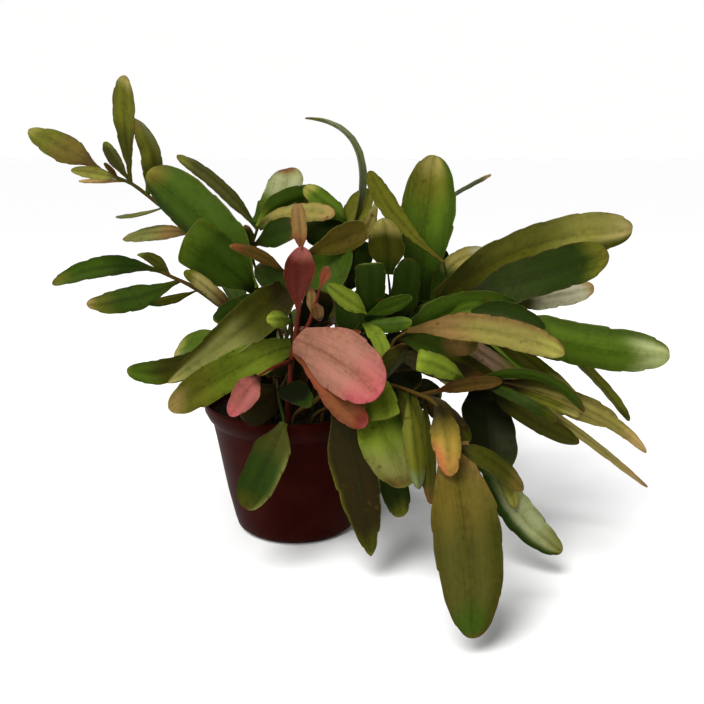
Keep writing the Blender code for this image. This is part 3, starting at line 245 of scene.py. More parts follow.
centreFrontShoot = {
    "node": "centre_front_shoot", "slot": "green_cladode", "hole": (13, -15), "girth": 3,
    "stem": [(334, 360, -20), (352, 335, -25), (367, 312, -28)],
    "stemTones": "umber forest green",
    "pads": [
        ((367, 312), (346, 299, -35), (326.5, 284, -42), 12.3, 15, "bright lime lime", "oval"),
        ((367, 313), (370, 287, -33), (369.5, 263, -35), 18.5, -6, "pine forest forest", "slab"),
        ((362, 323), (379, 340, -42), (384, 366, -56), 9.5, 0, "forest bright olive", "strap"),
        ((366, 316), (388, 306, -30), (412, 297, -30), 10.5, 20, "green green green"),
        ((358, 328), (386, 325, -31), (412, 322, -34), 9.5, -15, "forest green leaf", "strap"),
        ((345, 345), (384, 362, -20), (418, 388, -22), 22, 20, "umber pine pine", "band"),
        ((352, 336), (349, 316, -18), (346, 298, -12), 18, 12, "pine forest pine", "band"),
    ],
}

topCentreShoot = {
    "node": "top_centre_shoot", "slot": "olive_cladode", "hole": (12, 13), "girth": 3,
    "stem": [(320, 340, 14), (342, 290, 15), (352, 250, 16), (346, 222, 18)],
    "stemTones": "umber brown drab",
    "pads": [
        ((345, 223), (327, 205, 20), (304, 187, 22), 14, 22, "forest leaf mustard", "strap"),
        ((350, 240), (357, 213, 24), (371, 190, 32), 18, -22, "bark olive olive"),
        ((351, 231), (356, 150, 27), (305.4, 118.5, 40), 9.5, 74, "olive lichen lichen olive", "band"),
        ((352, 246), (367, 226, 14), (375.5, 202, 14), 11.5, 15, "olive khaki wheat", "point"),
        ((346, 290), (356, 264, 18), (361, 241, 19), 20, 8, "pine forest forest", "band"),
        ((350, 240), (326, 232, 25), (303, 231, 27), 21, 0, "pine forest forest", "strap"),
    ],
}

uprightShoot = {
    "node": "upright_shoot", "slot": "green_cladode", "hole": (24, 9), "girth": 3.4,
    "stem": [(352, 345, 12), (385, 320, 17), (420, 306, 22)],
    "twigs": [
        [(386, 319), (390, 296, 13), (388, 273, 9)],
    ],
    "stemTones": "umber forest forest",
    "pads": [
        ((420, 306), (424, 232, 27), (435, 155.5, 38), 38, 18,
         "forest 25 green 46 leaf 72 olive 90 khaki", "paddle", ("green", -1, 0.4, 0.3)),
        ((420, 305), (437, 278, 28), (445, 250, 34), 10.5, 20, "forest green forest"),
        ((436, 212), (462, 189.5, 52), (491, 174.5, 56), 6, 66, "leaf green green tan", "band"),
        ((388, 274), (387, 244, 6), (383, 218, 2), 24, -14, "forest 20 drab 72 khaki", "oval"),
        ((356, 342), (372, 318, 19), (392, 298, 24), 20, 12, "pine forest forest", "band"),
        ((388, 318), (418, 316, 14), (446, 324, 13), 22, 8, "pine forest pine", "band"),
    ],
}

rightUpperShoot = {
    "node": "right_upper_shoot", "slot": "olive_cladode", "hole": (33, -1), "girth": 3.4,
    "stem": [(358, 350, 2), (400, 320, 3), (436, 300, 5), (472, 299, 2), (510, 303, -2)],
    "twigs": [
        [(437, 300), (447, 282, 5), (443, 261, 5)],
    ],
    "stemTones": "umber forest drab",
    "pads": [
        ((438, 299), (531, 245.5, 20), (632, 230, 36), 29.5, 20, "drab 25 olive 62 mustard 88 wheat",
         "band", ("drab", -1, 0.3, 0.15)),
        ((472, 299), (541, 275, -8), (609, 256, -30), 27.5, -18, "pine forest forest 86 olive", "band"),
        # the palest tones of this pad and the next are painted highlights
        ((508, 303), (551, 296, 5), (594, 288, 10), 16, 15, "drab 32 silver 74 silver 90 tan", "strap"),
        ((434, 301), (453, 265, 24), (488, 253, 38), 13, -15, "forest 45 khaki sheen", "band"),
        ((443, 262), (398, 219, 6), (369, 171, 4), 13.5, 20, "bark olive olive", "spoon"),
        ((400, 320), (405, 290, 2), (409, 258, 2), 18, 10, "pine forest forest", "band"),
    ],
}

rightShoot = {
    "node": "right_shoot", "slot": "green_cladode", "hole": (29, -13), "girth": 3.4,
    "stem": [(352, 368, -15), (398, 338, -20), (445, 318, -24), (478, 316, -26)],
    "stemTones": "umber forest green",
    "pads": [
        # the mint tip of this pad is a painted highlight
        ((478, 318), (573, 344, -44), (669.5, 354, -74), 26.6, 14, "olive leaf leaf 84 mint", "strap",
         ("green", 1, 0.4, 0.1)),
        ((458, 317), (502, 315, -34), (546, 333, -44), 17, -15, "forest forest forest"),
        ((446, 318), (466, 309, -26), (486, 307, -26), 9, 0, "olive leaf leaf"),
        ((406, 334), (460, 306, -15), (522, 312, -10), 17, 10, "forest green forest", "band"),
        ((412, 330), (460, 353, -30), (504, 388, -34), 17, 15, "forest drab brown", "band"),
        ((440, 319), (501, 354, -28), (553, 394, -36), 23, -12, "forest green green 90 fawn", "strap"),
        ((432, 323), (484, 354, -40), (535, 392, -46), 10.5, 12, "drab 30 mauve 70 olive", "strap"),
        ((462, 318), (512, 354, -42), (556, 398, -52), 9, -10, "forest leaf 75 olive", "strap"),
        ((478, 322), (532, 362, -50), (580, 404, -58), 9.5, 14, "umber 30 drab 76 khaki", "strap"),
        ((548, 352), (597, 380, -38), (629, 421, -42), 8, 45, "drab olive olive drab", "strap"),
        ((354, 367), (394, 350, -9), (434, 354, -4), 22, -10, "pine pine umber", "band"),
        ((352, 371), (396, 388, -16), (442, 394, -22), 21, 10, "pine umber pine", "band"),
    ],
}

tanShoot = {
    "node": "tan_shoot", "slot": "tan_cladode", "hole": (20, -26), "girth": 3,
    "stem": [(352, 388, -32), (386, 366, -42), (393, 342, -46), (408, 331, -49)],
    "stemTones": "umber brown brown",
    "pads": [
        ((408, 331), (486, 331, -68), (564, 355, -92), 17.5, -20, "brown 14 fawn 38 straw 88 mustard",
         "strap", ("fawn", 1, 0.45, 0.1)),
        ((398, 338), (438, 342, -45), (478, 344, -46), 16.5, 0, "pine green 62 fawn 90 drab", "strap"),
        ((392, 350), (438, 368, -52), (484, 380, -56), 13.5, -12, "pine umber brown", "strap"),
    ],
}

rightLowShoot = {
    "node": "right_low_shoot", "slot": "olive_cladode", "hole": (38, -25), "girth": 3.2,
    "stem": [(380, 398, -34), (412, 396, -46), (442, 390, -56), (470, 383, -62), (492, 380, -66)],
    "stemTones": "umber brown brown",
    "pads": [
        ((492, 380), (563, 420, -82), (647.5, 487, -104), 9, 58, "umber drab 45 khaki tan"),
        ((470, 383), (551, 396, -66), (617, 423, -70), 16.5, 22, "umber 35 olive 68 khaki", "strap"),
        ((466, 384), (534, 376, -80), (584, 412, -92), 7, 40, "forest green 92 drab", "strap"),
        ((480, 381), (532, 395, -88), (580, 416, -102), 6.5, 35, "umber umber olive khaki", "strap"),
        ((468, 384), (442, 367, -72), (417, 359, -74), 13, -15, "pine bright lime", "cut"),
        ((436, 391), (468, 384, -72), (502, 381, -78), 8, 18, "brick brown brown", "strap"),
        ((484, 381), (525, 415, -78), (579, 443, -84), 12, 22, "pine 32 drab drab", "strap"),
        ((490, 380), (586, 408.5, -86), (646, 452.5, -92), 8.5, 15, "umber 24 straw 80 tan"),
        ((478, 382), (518, 399, -88), (556, 421, -96), 6.5, -20, "umber forest drab", "strap"),
    ],
}

lowerRightShoot = {
    "node": "lower_right_shoot", "slot": "dark_cladode", "hole": (26, -34), "girth": 3.2,
    "stem": [(366, 402, -40), (408, 404, -36), (448, 389, -38), (480, 390, -46)],
    "stemTones": "umber umber pine",
    "pads": [
        ((480, 390), (488, 430, -68), (492, 475, -84), 30, -14, "pine pine forest", "band"),
        ((480, 390), (494, 435, -60), (514, 485, -72), 11, 40, "pine pine 55 wheat", "strap"),
        ((474, 389), (497, 450, -58), (515, 508, -72), 11.5, -20, "pine olive mustard", "strap"),
        # the pale grey part of this pad is a painted highlight
        ((472, 389), (501, 486, -62), (562, 552, -82), 20.5, 8, "forest 20 green 46 frost 88 sage",
         "spoon", ("forest", -1, 0.2, 0.1)),
    ],
}

frontDroopingShoot = {
    "node": "front_drooping_shoot", "slot": "olive_cladode", "hole": (14, -38), "girth": 3.2,
    "stem": [(346, 402, -48), (380, 385, -58), (412, 392, -82), (438, 407, -101), (454, 448, -120)],
    "stemTones": "umber brown drab",
    "pads": [
        ((450, 444), (466, 543, -146), (473.5, 638, -160), 35.5, -14, "fawn 12 bark 42 moss 84 green",
         "drop", ("drab", 1, 0.35, 0.2)),
        ((438, 407), (447, 440, -125), (450, 476, -134), 15.5, 12, "umber 24 bark 44 honey 72 peach",
         "oval", ("apricot", -1, 0.1, 0.4)),
        ((425, 399), (430, 454, -106), (431, 504, -112), 12, 45, "pine drab brown"),
        ((408, 391), (414, 440, -102), (419, 489, -112), 12.3, -15, "forest olive lichen"),
        ((396, 388), (411, 411, -86), (418, 438, -96), 13, 15, "pine drab drab", "strap"),
        ((451, 446), (491, 461, -124), (523, 490, -122), 11, -24, "umber drab 80 bark", "strap"),
        ((424, 398), (447, 418, -98), (468, 444, -104), 12, 10, "umber umber drab", "band"),
    ],
}

frontMiddleShoot = {
    "node": "front_middle_shoot", "slot": "green_cladode", "hole": (2, -39), "girth": 3.2,
    "stem": [(316, 400, -52), (332, 382, -54), (346, 362, -56)],
    "stemTones": "umber brown green",
    "pads": [
        ((346, 362), (379, 424, -80), (406, 487, -100), 32.5, -14, "lime 20 bright 70 sage 92 brown",
         "spoon", ("leaf", 1, 0.25, 0.2)),
        ((334, 380), (357.5, 478, -77), (371, 556, -86), 30, 18, "umber umber umber drab", "point",
         ("olive", -1, 0.8, 0.1)),
        ((346, 363), (375, 390, -74), (386, 419, -89), 18, 10, "leaf bright bright", "cut"),
        ((340, 372), (383, 458, -66), (400, 517, -72), 18.5, -20, "forest forest 90 olive", "spoon"),
    ],
}

shoots = [farLeftShoot, upperLeftShoot, topLeftShoot, leftShoot, lowerLeftShoot, overRimShoot, redShoot,
          centreShoot, centreFrontShoot, topCentreShoot, uprightShoot, rightUpperShoot, rightShoot,
          tanShoot, rightLowShoot, lowerRightShoot, frontDroopingShoot, frontMiddleShoot]

# the far side is guessed: hole, bearing, rise and reach of each shoot there
backPlan = [
    ("back_left_shoot", (-24, 24), 118, 42, 62),
    ("back_shoot", (-8, 36), 96, 30, 74),
    ("back_right_shoot", (14, 32), 72, 36, 72),
    ("side_right_shoot", (35, 20), 48, 28, 70),
    ("back_low_shoot", (-32, 10), 146, 26, 46),
]

growth = {
    "seed": 11,
    "toneSeed": 5,
    "tries": 150,
    "roll": (-35, 35),
    "habits": ("lance", "strap", "lance", "spoon"),
    "room": 5.0 * mm,          # kept from every other shoot
    "widthRoom": 0.4,          # and by a broad pad at least this much of its half width
    "ownRoom": 3.0 * mm,       # kept from the same shoot, past the first share of the length
    "ownCrowding": 0.3,
    "potRoom": 4.0 * mm,
    "floorRoom": 12.0 * mm,
    "stationLength": 14.0 * mm,
    "stations": (3, 8),        # fewest and most along a pad
    "stationCrowding": 1.35,
    "leastHalf": 0.9 * mm,
    "stemStep": 24.0 * mm,
    "soilTop": 78.0 * mm,
    "stemFoot": 62.3 * mm,     # height of each stem's lower end, in its hole in the soil
    "straightTop": 86.0 * mm,
    "seatGap": 0.3 * mm,
    "rimRadius": 60.0 * mm,
    "potHeight": 88.0 * mm,
    "kneeShare": 0.2,          # a back shoot climbs first, out to this share of its reach
    "kneeRise": 16.0 * mm,
    # the far side stays behind this outline of the seen foliage and pot
    "outline": [
        (150, 180), (185, 182), (222, 205), (250, 240), (262, 300), (410, 300), (447, 262),
        (500, 232), (541, 219), (600, 216), (628, 230), (606, 262), (592, 290), (545, 311),
        (590, 320), (640, 337), (666, 350), (640, 362), (600, 374), (560, 392), (500, 400),
        (440, 394), (418, 410), (412, 470), (215, 470), (206, 402), (185, 408), (172, 400),
        (168, 380), (132, 372), (142, 358), (185, 342), (225, 305), (222, 292), (195, 250),
        (152, 205),
    ],
    "tones": [
        "forest green olive", "umber forest green", "green leaf tan",
        "forest olive bark", "forest leaf mustard", "brown olive olive",
        "forest forest green", "drab green bright",
    ],
    # near-black tones of the inner pads: painted shade that darkens the crown
    "innerShadeTones": [
        "umber pine umber", "pine pine forest",
        "pine forest pine", "umber drab umber",
    ],
}


def pointed(bearing, climb=0):
    around, up = math.radians(bearing), math.radians(climb)
    outward = Vector((math.cos(around), math.sin(around), 0.0))
    return outward * math.cos(up) + Vector((0, 0, math.sin(up)))


def smoothPath(points, spacing):
    ghosts = [points[0] * 2 - points[1]] + points + [points[-1] * 2 - points[-2]]
    path = [points[0].copy()]
    for i in range(1, len(ghosts) - 2):
        a, b, c, d = ghosts[i - 1:i + 3]
        steps = max(1, round((c - b).length / spacing))
        for step in range(1, steps + 1):
            t = step / steps
            path.append(0.5 * (
                2 * b + (c - a) * t + (2 * a - 5 * b + 4 * c - d) * t ** 2
                + (3 * b - a - 3 * c + d) * t ** 3
            ))
    return path


def carriedSideways(path, side):
    ends = [path[0], *path, path[-1]]
    headings = [(b - a).normalized() for a, b in zip(ends, ends[2:])]
    sides = []
    for heading in headings:
        side = (side - heading * side.dot(heading)).normalized()
        sides.append(side)
    return headings, sides


def bothWays(line, centre, side):
    # the side direction is carried both ways from one place on the line
    after, sidesAfter = carriedSideways(line[centre:], side)
    before, sidesBefore = carriedSideways(line[:centre + 1][::-1], side)
    return [-heading for heading in before[:0:-1]] + after, sidesBefore[:0:-1] + sidesAfter


def onArc(knots, t):
    root, control, tip = knots
    return root * (1 - t) ** 2 + control * (2 * t * (1 - t)) + tip * t ** 2


def smoothShare(values):
    held = np.clip(values, 0, 1)
    return held * held * (3 - 2 * held)


def outlineAt(habit, t):
    root, shoulder, closing, roundness = habits[habit]
    swell = root + (1 - root) * smoothShare(t / shoulder)
    late = np.maximum(t - closing, 0.0) / (1 - closing)
    return swell * np.maximum(1 - late ** roundness, 0.0) ** (1 / roundness)


def course(root, middle, tip, item, side=None):
    # a pad's centre line and the directions along it, first in a few stations
    length = (middle - root).length + (tip - middle).length
    fewest, most = growth["stations"]
    count = min(max(round(length / growth["stationLength"]), fewest), most)
    knots = (root, middle * 2 - (root + tip) / 2, tip)
    shares = [1 - (1 - i / count) ** growth["stationCrowding"] for i in range(count + 1)]
    line = [onArc(knots, t) for t in shares]
    centre = len(line) // 2
    heading = (line[centre + 1] - line[centre - 1]).normalized()
    if side is None:
        side = heading.cross(line[centre] - view["eye"]).normalized()
    first = Matrix.Rotation(math.radians(item["roll"]), 3, heading) @ side
    halves = [float(item["width"] * mm / 2 * outlineAt(item["habit"], t)) for t in shares]
    return {
        "line": line, "sides": bothWays(line, centre, first)[1],
        "halves": [max(half, growth["leastHalf"]) for half in halves],
        "knots": knots, "centreShare": shares[centre], "first": first,
        "length": length, "item": item,
    }


def nearestOn(carriers, placeSeen):
    target = Vector(placeSeen)
    best = None
    for line in carriers:
        for a, b in zip(line, line[1:]):
            seenA = seen(a)
            stretch = seen(b) - seenA
            share = (target - seenA).dot(stretch) / max(stretch.length_squared, 1e-9)
            point = a.lerp(b, min(max(share, 0.0), 1.0))
            distance = (seen(point) - target).length
            if best is None or distance < best[0]:
                best = (distance, point)
    return best[1]


def layOut(shoot):
    x, y = shoot["hole"]
    foot = Vector((x * mm, y * mm, growth["stemFoot"]))
    collar = Vector((x * mm, y * mm, growth["straightTop"]))
    bends = [place(*bend) for bend in shoot["stem"]]
    lines = [[foot] + smoothPath([collar] + bends, growth["stemStep"])]
    carriers = [lines[0][1:]]
    for twig in shoot.get("twigs", []):
        start = nearestOn(carriers, twig[0][:2])
        line = smoothPath([start] + [place(*bend) for bend in twig[1:]], growth["stemStep"])
        lines.append(line)
        carriers.append(line)
    pads = []
    for root, via, tip, *looks in shoot["pads"]:
        root = nearestOn(carriers, root)
        tip = place(*tip)
        middle = place(*via) if via else (root + tip) / 2
        pads.append(course(root, middle, tip, padItem(*looks)))
        carriers.append(pads[-1]["line"])
    return {"shoot": shoot, "lines": lines, "pads": pads}


def marks(lines, pads):
    points = []
    for line in lines:
        for a, b in zip(line, line[1:]):
            points += [a.lerp(b, step / 5) for step in range(5)]
        points.append(line[-1])
    for laid in pads:
        rows = []
        for centre, side, half in zip(laid["line"], laid["sides"], laid["halves"]):
            rows.append([centre + side * half * share for share in (-1.0, -0.5, 0.0, 0.5, 1.0)])
        for near, far in zip(rows, rows[1:]):
            for a, b in zip(near, far):
                points += [a, a.lerp(b, 0.33), a.lerp(b, 0.66)]
        points += rows[-1]
    return points


def nearTree(layout):
    points = marks(layout["lines"], layout["pads"])
    tree = kdtree.KDTree(len(points))
    for i, point in enumerate(points):
        tree.insert(point, i)
    tree.balance()
    return tree


def hidden(point):
    u, v = seen(point)
    corners = growth["outline"]
    inside = False
    for (u1, v1), (u2, v2) in zip(corners, corners[1:] + corners[:1]):
        if (v1 > v) != (v2 > v) and u < u1 + (v - v1) * (u2 - u1) / (v2 - v1):
            inside = not inside
    return inside


def hasRoom(laid, own, others):
    root = laid["line"][0]
    crowded = (laid["line"][-1] - root).length * growth["ownCrowding"]
    room = max(growth["room"], max(laid["halves"]) * growth["widthRoom"])
    for point in marks([], [laid]):
        low = growth["floorRoom"]
        if point.xy.length < growth["rimRadius"] + growth["potRoom"]:
            low = growth["potHeight"] + growth["potRoom"]
        if point.z < low or not hidden(point):
            return False
        if (point - root).length > crowded and own.find(point)[2] < growth["ownRoom"]:
            return False
        if any(tree.find(point)[2] < room for tree in others):
            return False
    return True


def drawnPad(stem, at, bearing, rise, length, droop, item):
    step = at * (len(stem) - 1)
    low = min(int(step), len(stem) - 2)
    root = stem[low].lerp(stem[low + 1], step - low)
    reach = pointed(bearing, rise) * length * mm
    outward = pointed(bearing)
    side = Vector((-outward.y, outward.x, 0.0))
    return course(root, root + reach / 2, root + reach - Vector((0, 0, droop * mm)), item, side)


def grow(layouts):
    # each shoot gets the pads that its rule asks for, where there is room
    draw = random.Random(growth["seed"])
    toneDraw = random.Random(growth["toneSeed"])
    trees = {layout["shoot"]["node"]: nearTree(layout) for layout in layouts}
    for layout in layouts:
        name = layout["shoot"]["node"]
        rule = layout["shoot"]["grown"]
        others = [tree for node, tree in trees.items() if node != name]
        for k in range(rule["count"]):
            at = rule["from"] + (rule["to"] - rule["from"]) * (k / max(rule["count"] - 1, 1))
            hand = 1 if k % 2 else -1
            own = nearTree(layout)
            for _attempt in range(growth["tries"]):
                item = padItem(draw.uniform(*rule["width"]), draw.uniform(*growth["roll"]), None,
                               draw.choice(growth["habits"]))
                bearing = rule["bearing"] + hand * draw.uniform(0, rule["spread"])
                sizes = [draw.uniform(*rule[key]) for key in ("rise", "length", "droop")]
                laid = drawnPad(layout["lines"][0], at, bearing, *sizes, item)
                if hasRoom(laid, own, others):
                    item["tone"] = toneDraw.choice(rule["tones"])
                    layout["pads"].append(laid)
                    break
        trees[name] = nearTree(layout)


# inner pads for each seen shoot, in near-black tones: painted shade in the crown
def innerGrowth(shoot):
    x, y = shoot["hole"]
    return {
        "count": 2, "from": 0.25, "to": 0.50, "bearing": math.degrees(math.atan2(y, x)),
        "spread": 110, "rise": (10, 60), "length": (28, 46), "droop": (0, 8), "width": (13, 19),
        "tones": growth["innerShadeTones"],
    }


def backShoots():
    result = []
    for name, hole, bearing, rise, reach in backPlan:
        foot = Vector((hole[0] * mm, hole[1] * mm, growth["straightTop"]))
        climb = Vector((0, 0, growth["kneeRise"]))
        knee = foot + pointed(bearing) * reach * growth["kneeShare"] * mm + climb
        end = foot + pointed(bearing, rise) * reach * mm
        result.append({
            "node": name, "slot": "green_cladode", "hole": hole, "girth": 3.2,
            "stem": [(*seen(point), point.y / mm) for point in (knee, end)],
            "stemTones": "umber brown forest", "pads": [],
            "grown": {
                "count": 8, "from": 0.30, "to": 1.0, "bearing": bearing, "spread": 66,
                "rise": (rise - 40, rise + 26), "length": (54, 92), "droop": (12, 44),
                "width": (18, 27), "tones": growth["tones"],
            },
        })
    return result


# meshes

smoothUpTo = 50   # degrees; edges bent by more stay crisp


def choose(parts):
    bpy.ops.object.select_all(action="DESELECT")
    for part in parts:
        part.select_set(True)
    bpy.context.view_layer.objects.active = parts[0]


def newShape(name, operator, **sizes):
    bpy.ops.object.select_all(action="DESELECT")
    operator(**sizes)
    shape = bpy.context.object
    shape.name = name
    return shape


def newPiece(name, data):
    piece = bpy.data.objects.new(name, data)
    bpy.context.scene.collection.objects.link(piece)
    return piece


def change(piece, kind, **settings):
    choose([piece])
    modifier = piece.modifiers.new("change", kind)
    for key, value in settings.items():
        setattr(modifier, key, value)
    bpy.ops.object.modifier_apply(modifier="change")


def closeMesh(threshold, openEnds=False):
    # leaves edit mode with the seams merged and the faces outwards
    bpy.ops.mesh.select_all(action="SELECT")
    bpy.ops.mesh.remove_doubles(threshold=threshold)
    if openEnds:
        bpy.ops.mesh.fill_holes(sides=0)
    bpy.ops.mesh.select_all(action="SELECT")
    bpy.ops.mesh.normals_make_consistent(inside=False)
    bpy.ops.object.mode_set(mode="OBJECT")


def joinPieces(name, parts):
    choose(parts)
    bpy.ops.object.join()
    piece = bpy.context.object
    piece.name = name
    piece.data.name = name
    bpy.ops.object.shade_smooth_by_angle(angle=math.radians(smoothUpTo))
    return piece


def dress(piece, material, node):
    piece.data.materials.clear()
    piece.data.materials.append(material)
    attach(piece, "root")
    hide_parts(node)


# pads and stems

padForm = {
    "cells": (76, 14),          # along and across a broad pad
    "smallCells": (36, 8),      # and of a narrow one
    "smallWidth": 12.5,
    "tipCrowding": 1.6,
    "ribCrowding": 1.5,
    "courseSteps": 48,
    "leastHalf": 0.45 * mm,
    "leastNotched": 0.4 * mm,
    "plainRoot": 0.12,          # share of the length where the margin is still plain
    "plainTip": 0.06,
    "notchPitch": 0.62,         # distance between notches, in widths
    "leastPitch": 7.0 * mm,
    "notchSwell": 0.62,         # share of the pitch over which the margin swells
    "notchDepth": 0.036,        # in widths
    "notchDeepest": 0.9 * mm,
    "notchDrift": 0.16,         # how far the notches stray from even spacing
    "notchDepths": (0.62, 0.38),   # mean share of the depth, and how much it varies
    "nibble": 0.10 * mm,        # fine unevenness of the margin
    "nibbleLength": 1.9 * mm,
    "edge": 0.75 * mm,          # thickness at the margin
    "middle": 2.0 * mm,         # and along the rib of a broad pad
    "narrowMiddle": 0.9 * mm,   # a narrow one is this thick, and thicker by its width
    "middleGain": 0.045,
    "lens": 0.8,                # how full the section is between rib and margin
    "tipThinning": (0.08, 0.25),   # over this share of the length, down to this thickness
    "rib": 0.11 * mm,           # how far the rib stands out
    "ribWidth": 1.2 * mm,
    "smallRib": 0.45,
    "twist": 7.0,               # at most, in degrees each way
    "cup": 0.34,                # how far the margins rise, in half widths
    "cups": (-0.6, 0.4, 0.7, 1.0),
    "wave": 0.012,              # of the margin, in widths
    "areole": 1.3 * mm,
    "toneWobble": (0.03, 0.006),   # how far a change of tone strays along the pad
    "lightness": (0.92, 1.08),
    # one half of a pad lighter and the other darker: painted light and shade on either side of the rib
    "paintedSideShade": 0.10,
    "edgeBlend": (0.5, 0.3),    # how fast an edge tone comes in, across and along
    "edgeWobble": 0.06,
}

stemForm = {
    "cells": (44, 10),
    "step": 3.0 * mm,
    "girths": (1, 0.55),        # at the foot and at the end
    "twigGirths": (0.65, 0.36),
    "swell": 1.06,
    "joints": ((0.10, 9.0 * mm), (0.06, 3.1 * mm)),
    "lightness": (0.9, 1.1),
    "merging": 0.0001,
}

# where along the pad one tone passes into the next, by the number of tones
changePlaces = {2: [0.50], 3: [0.16, 0.84], 4: [0.12, 0.46, 0.86], 5: [0.10, 0.34, 0.60, 0.87]}
changeForm = {"reach": 0.13, "late": 0.8, "lateReach": 0.09}
patchForm = {"span": 3, "step": 0.137}   # each pad and stem reads its own patch of the noise


def makeGrid(name, cells):
    return newShape(name, bpy.ops.mesh.primitive_grid_add,
                    x_subdivisions=cells[0], y_subdivisions=cells[1], size=2)


def makeSlab(name, cells):
    # 2 long, 2 wide and 2 thick; every pad is bent from one
    slab = makeGrid(name, cells)
    change(slab, "SOLIDIFY", thickness=2.0, offset=0.0)
    return slab


def makeTube(name, cells):
    # a grid rolled up into a round bar, 2 long
    tube = makeGrid(name, cells)
    for corner in tube.data.vertices:
        angle = math.pi * corner.co.y
        corner.co = (corner.co.x, math.cos(angle), math.sin(angle))
    bpy.ops.object.mode_set(mode="EDIT")
    closeMesh(stemForm["merging"], openEnds=True)
    return tube


def readPoints(mesh):
    flat = np.empty(len(mesh.vertices) * 3)
    mesh.vertices.foreach_get("co", flat)
    return flat.reshape(-1, 3).T


def readCourse(shares, line, headings, sides, t):
    # the centre and the side and upward directions at the shares t
    centre, heading, side = (
        np.stack([np.interp(t, shares, column) for column in zip(*rows)], axis=1)
        for rows in (line, headings, sides)
    )
    return centre, side, np.cross(heading, side)


def tinted(colour, name, share):
    share = share[:, None]
    return colour * (1 - share) + np.array(linear(name)) * share


def tonesAlong(names, t):
    # names run from root to tip; a number between two of them is the percentage of their change
    words = names.split()
    named = [word for word in words if not word.isdigit()]
    places = list(changePlaces[len(named)])
    for i, word in enumerate(words):
        if word.isdigit():
            before = sum(not other.isdigit() for other in words[:i])
            places[before - 1] = int(word) / 100
    colour = np.array(linear(named[0])) + np.zeros((len(t), 3))
    for name, passing in zip(named[1:], places):
        reach = changeForm["reach" if passing < changeForm["late"] else "lateReach"]
        colour = tinted(colour, name, smoothShare((t - passing + reach) / (2 * reach)))
    return colour


def finishPart(name, mesh, number, points, tone, lie, metres):
    # lie holds the share along, the share across and the areoles; grow holds the metres along
    # and across, and the patch
    plain = np.ones(len(points))
    patch = patchForm["span"] * ((number * patchForm["step"]) % 1.0)
    mesh.vertices.foreach_set("co", points.ravel())
    for key, kind, field, columns in (
        ("tone", "FLOAT_COLOR", "color", [*tone.T, plain]),
        ("lie", "FLOAT_VECTOR", "vector", lie),
        ("grow", "FLOAT_VECTOR", "vector", [*metres, plain * patch]),
    ):
        layer = mesh.attributes.new(key, kind, "POINT")
        layer.data.foreach_set(field, np.stack(columns, 1).ravel())
    mesh.update()
    return newPiece(name, mesh)


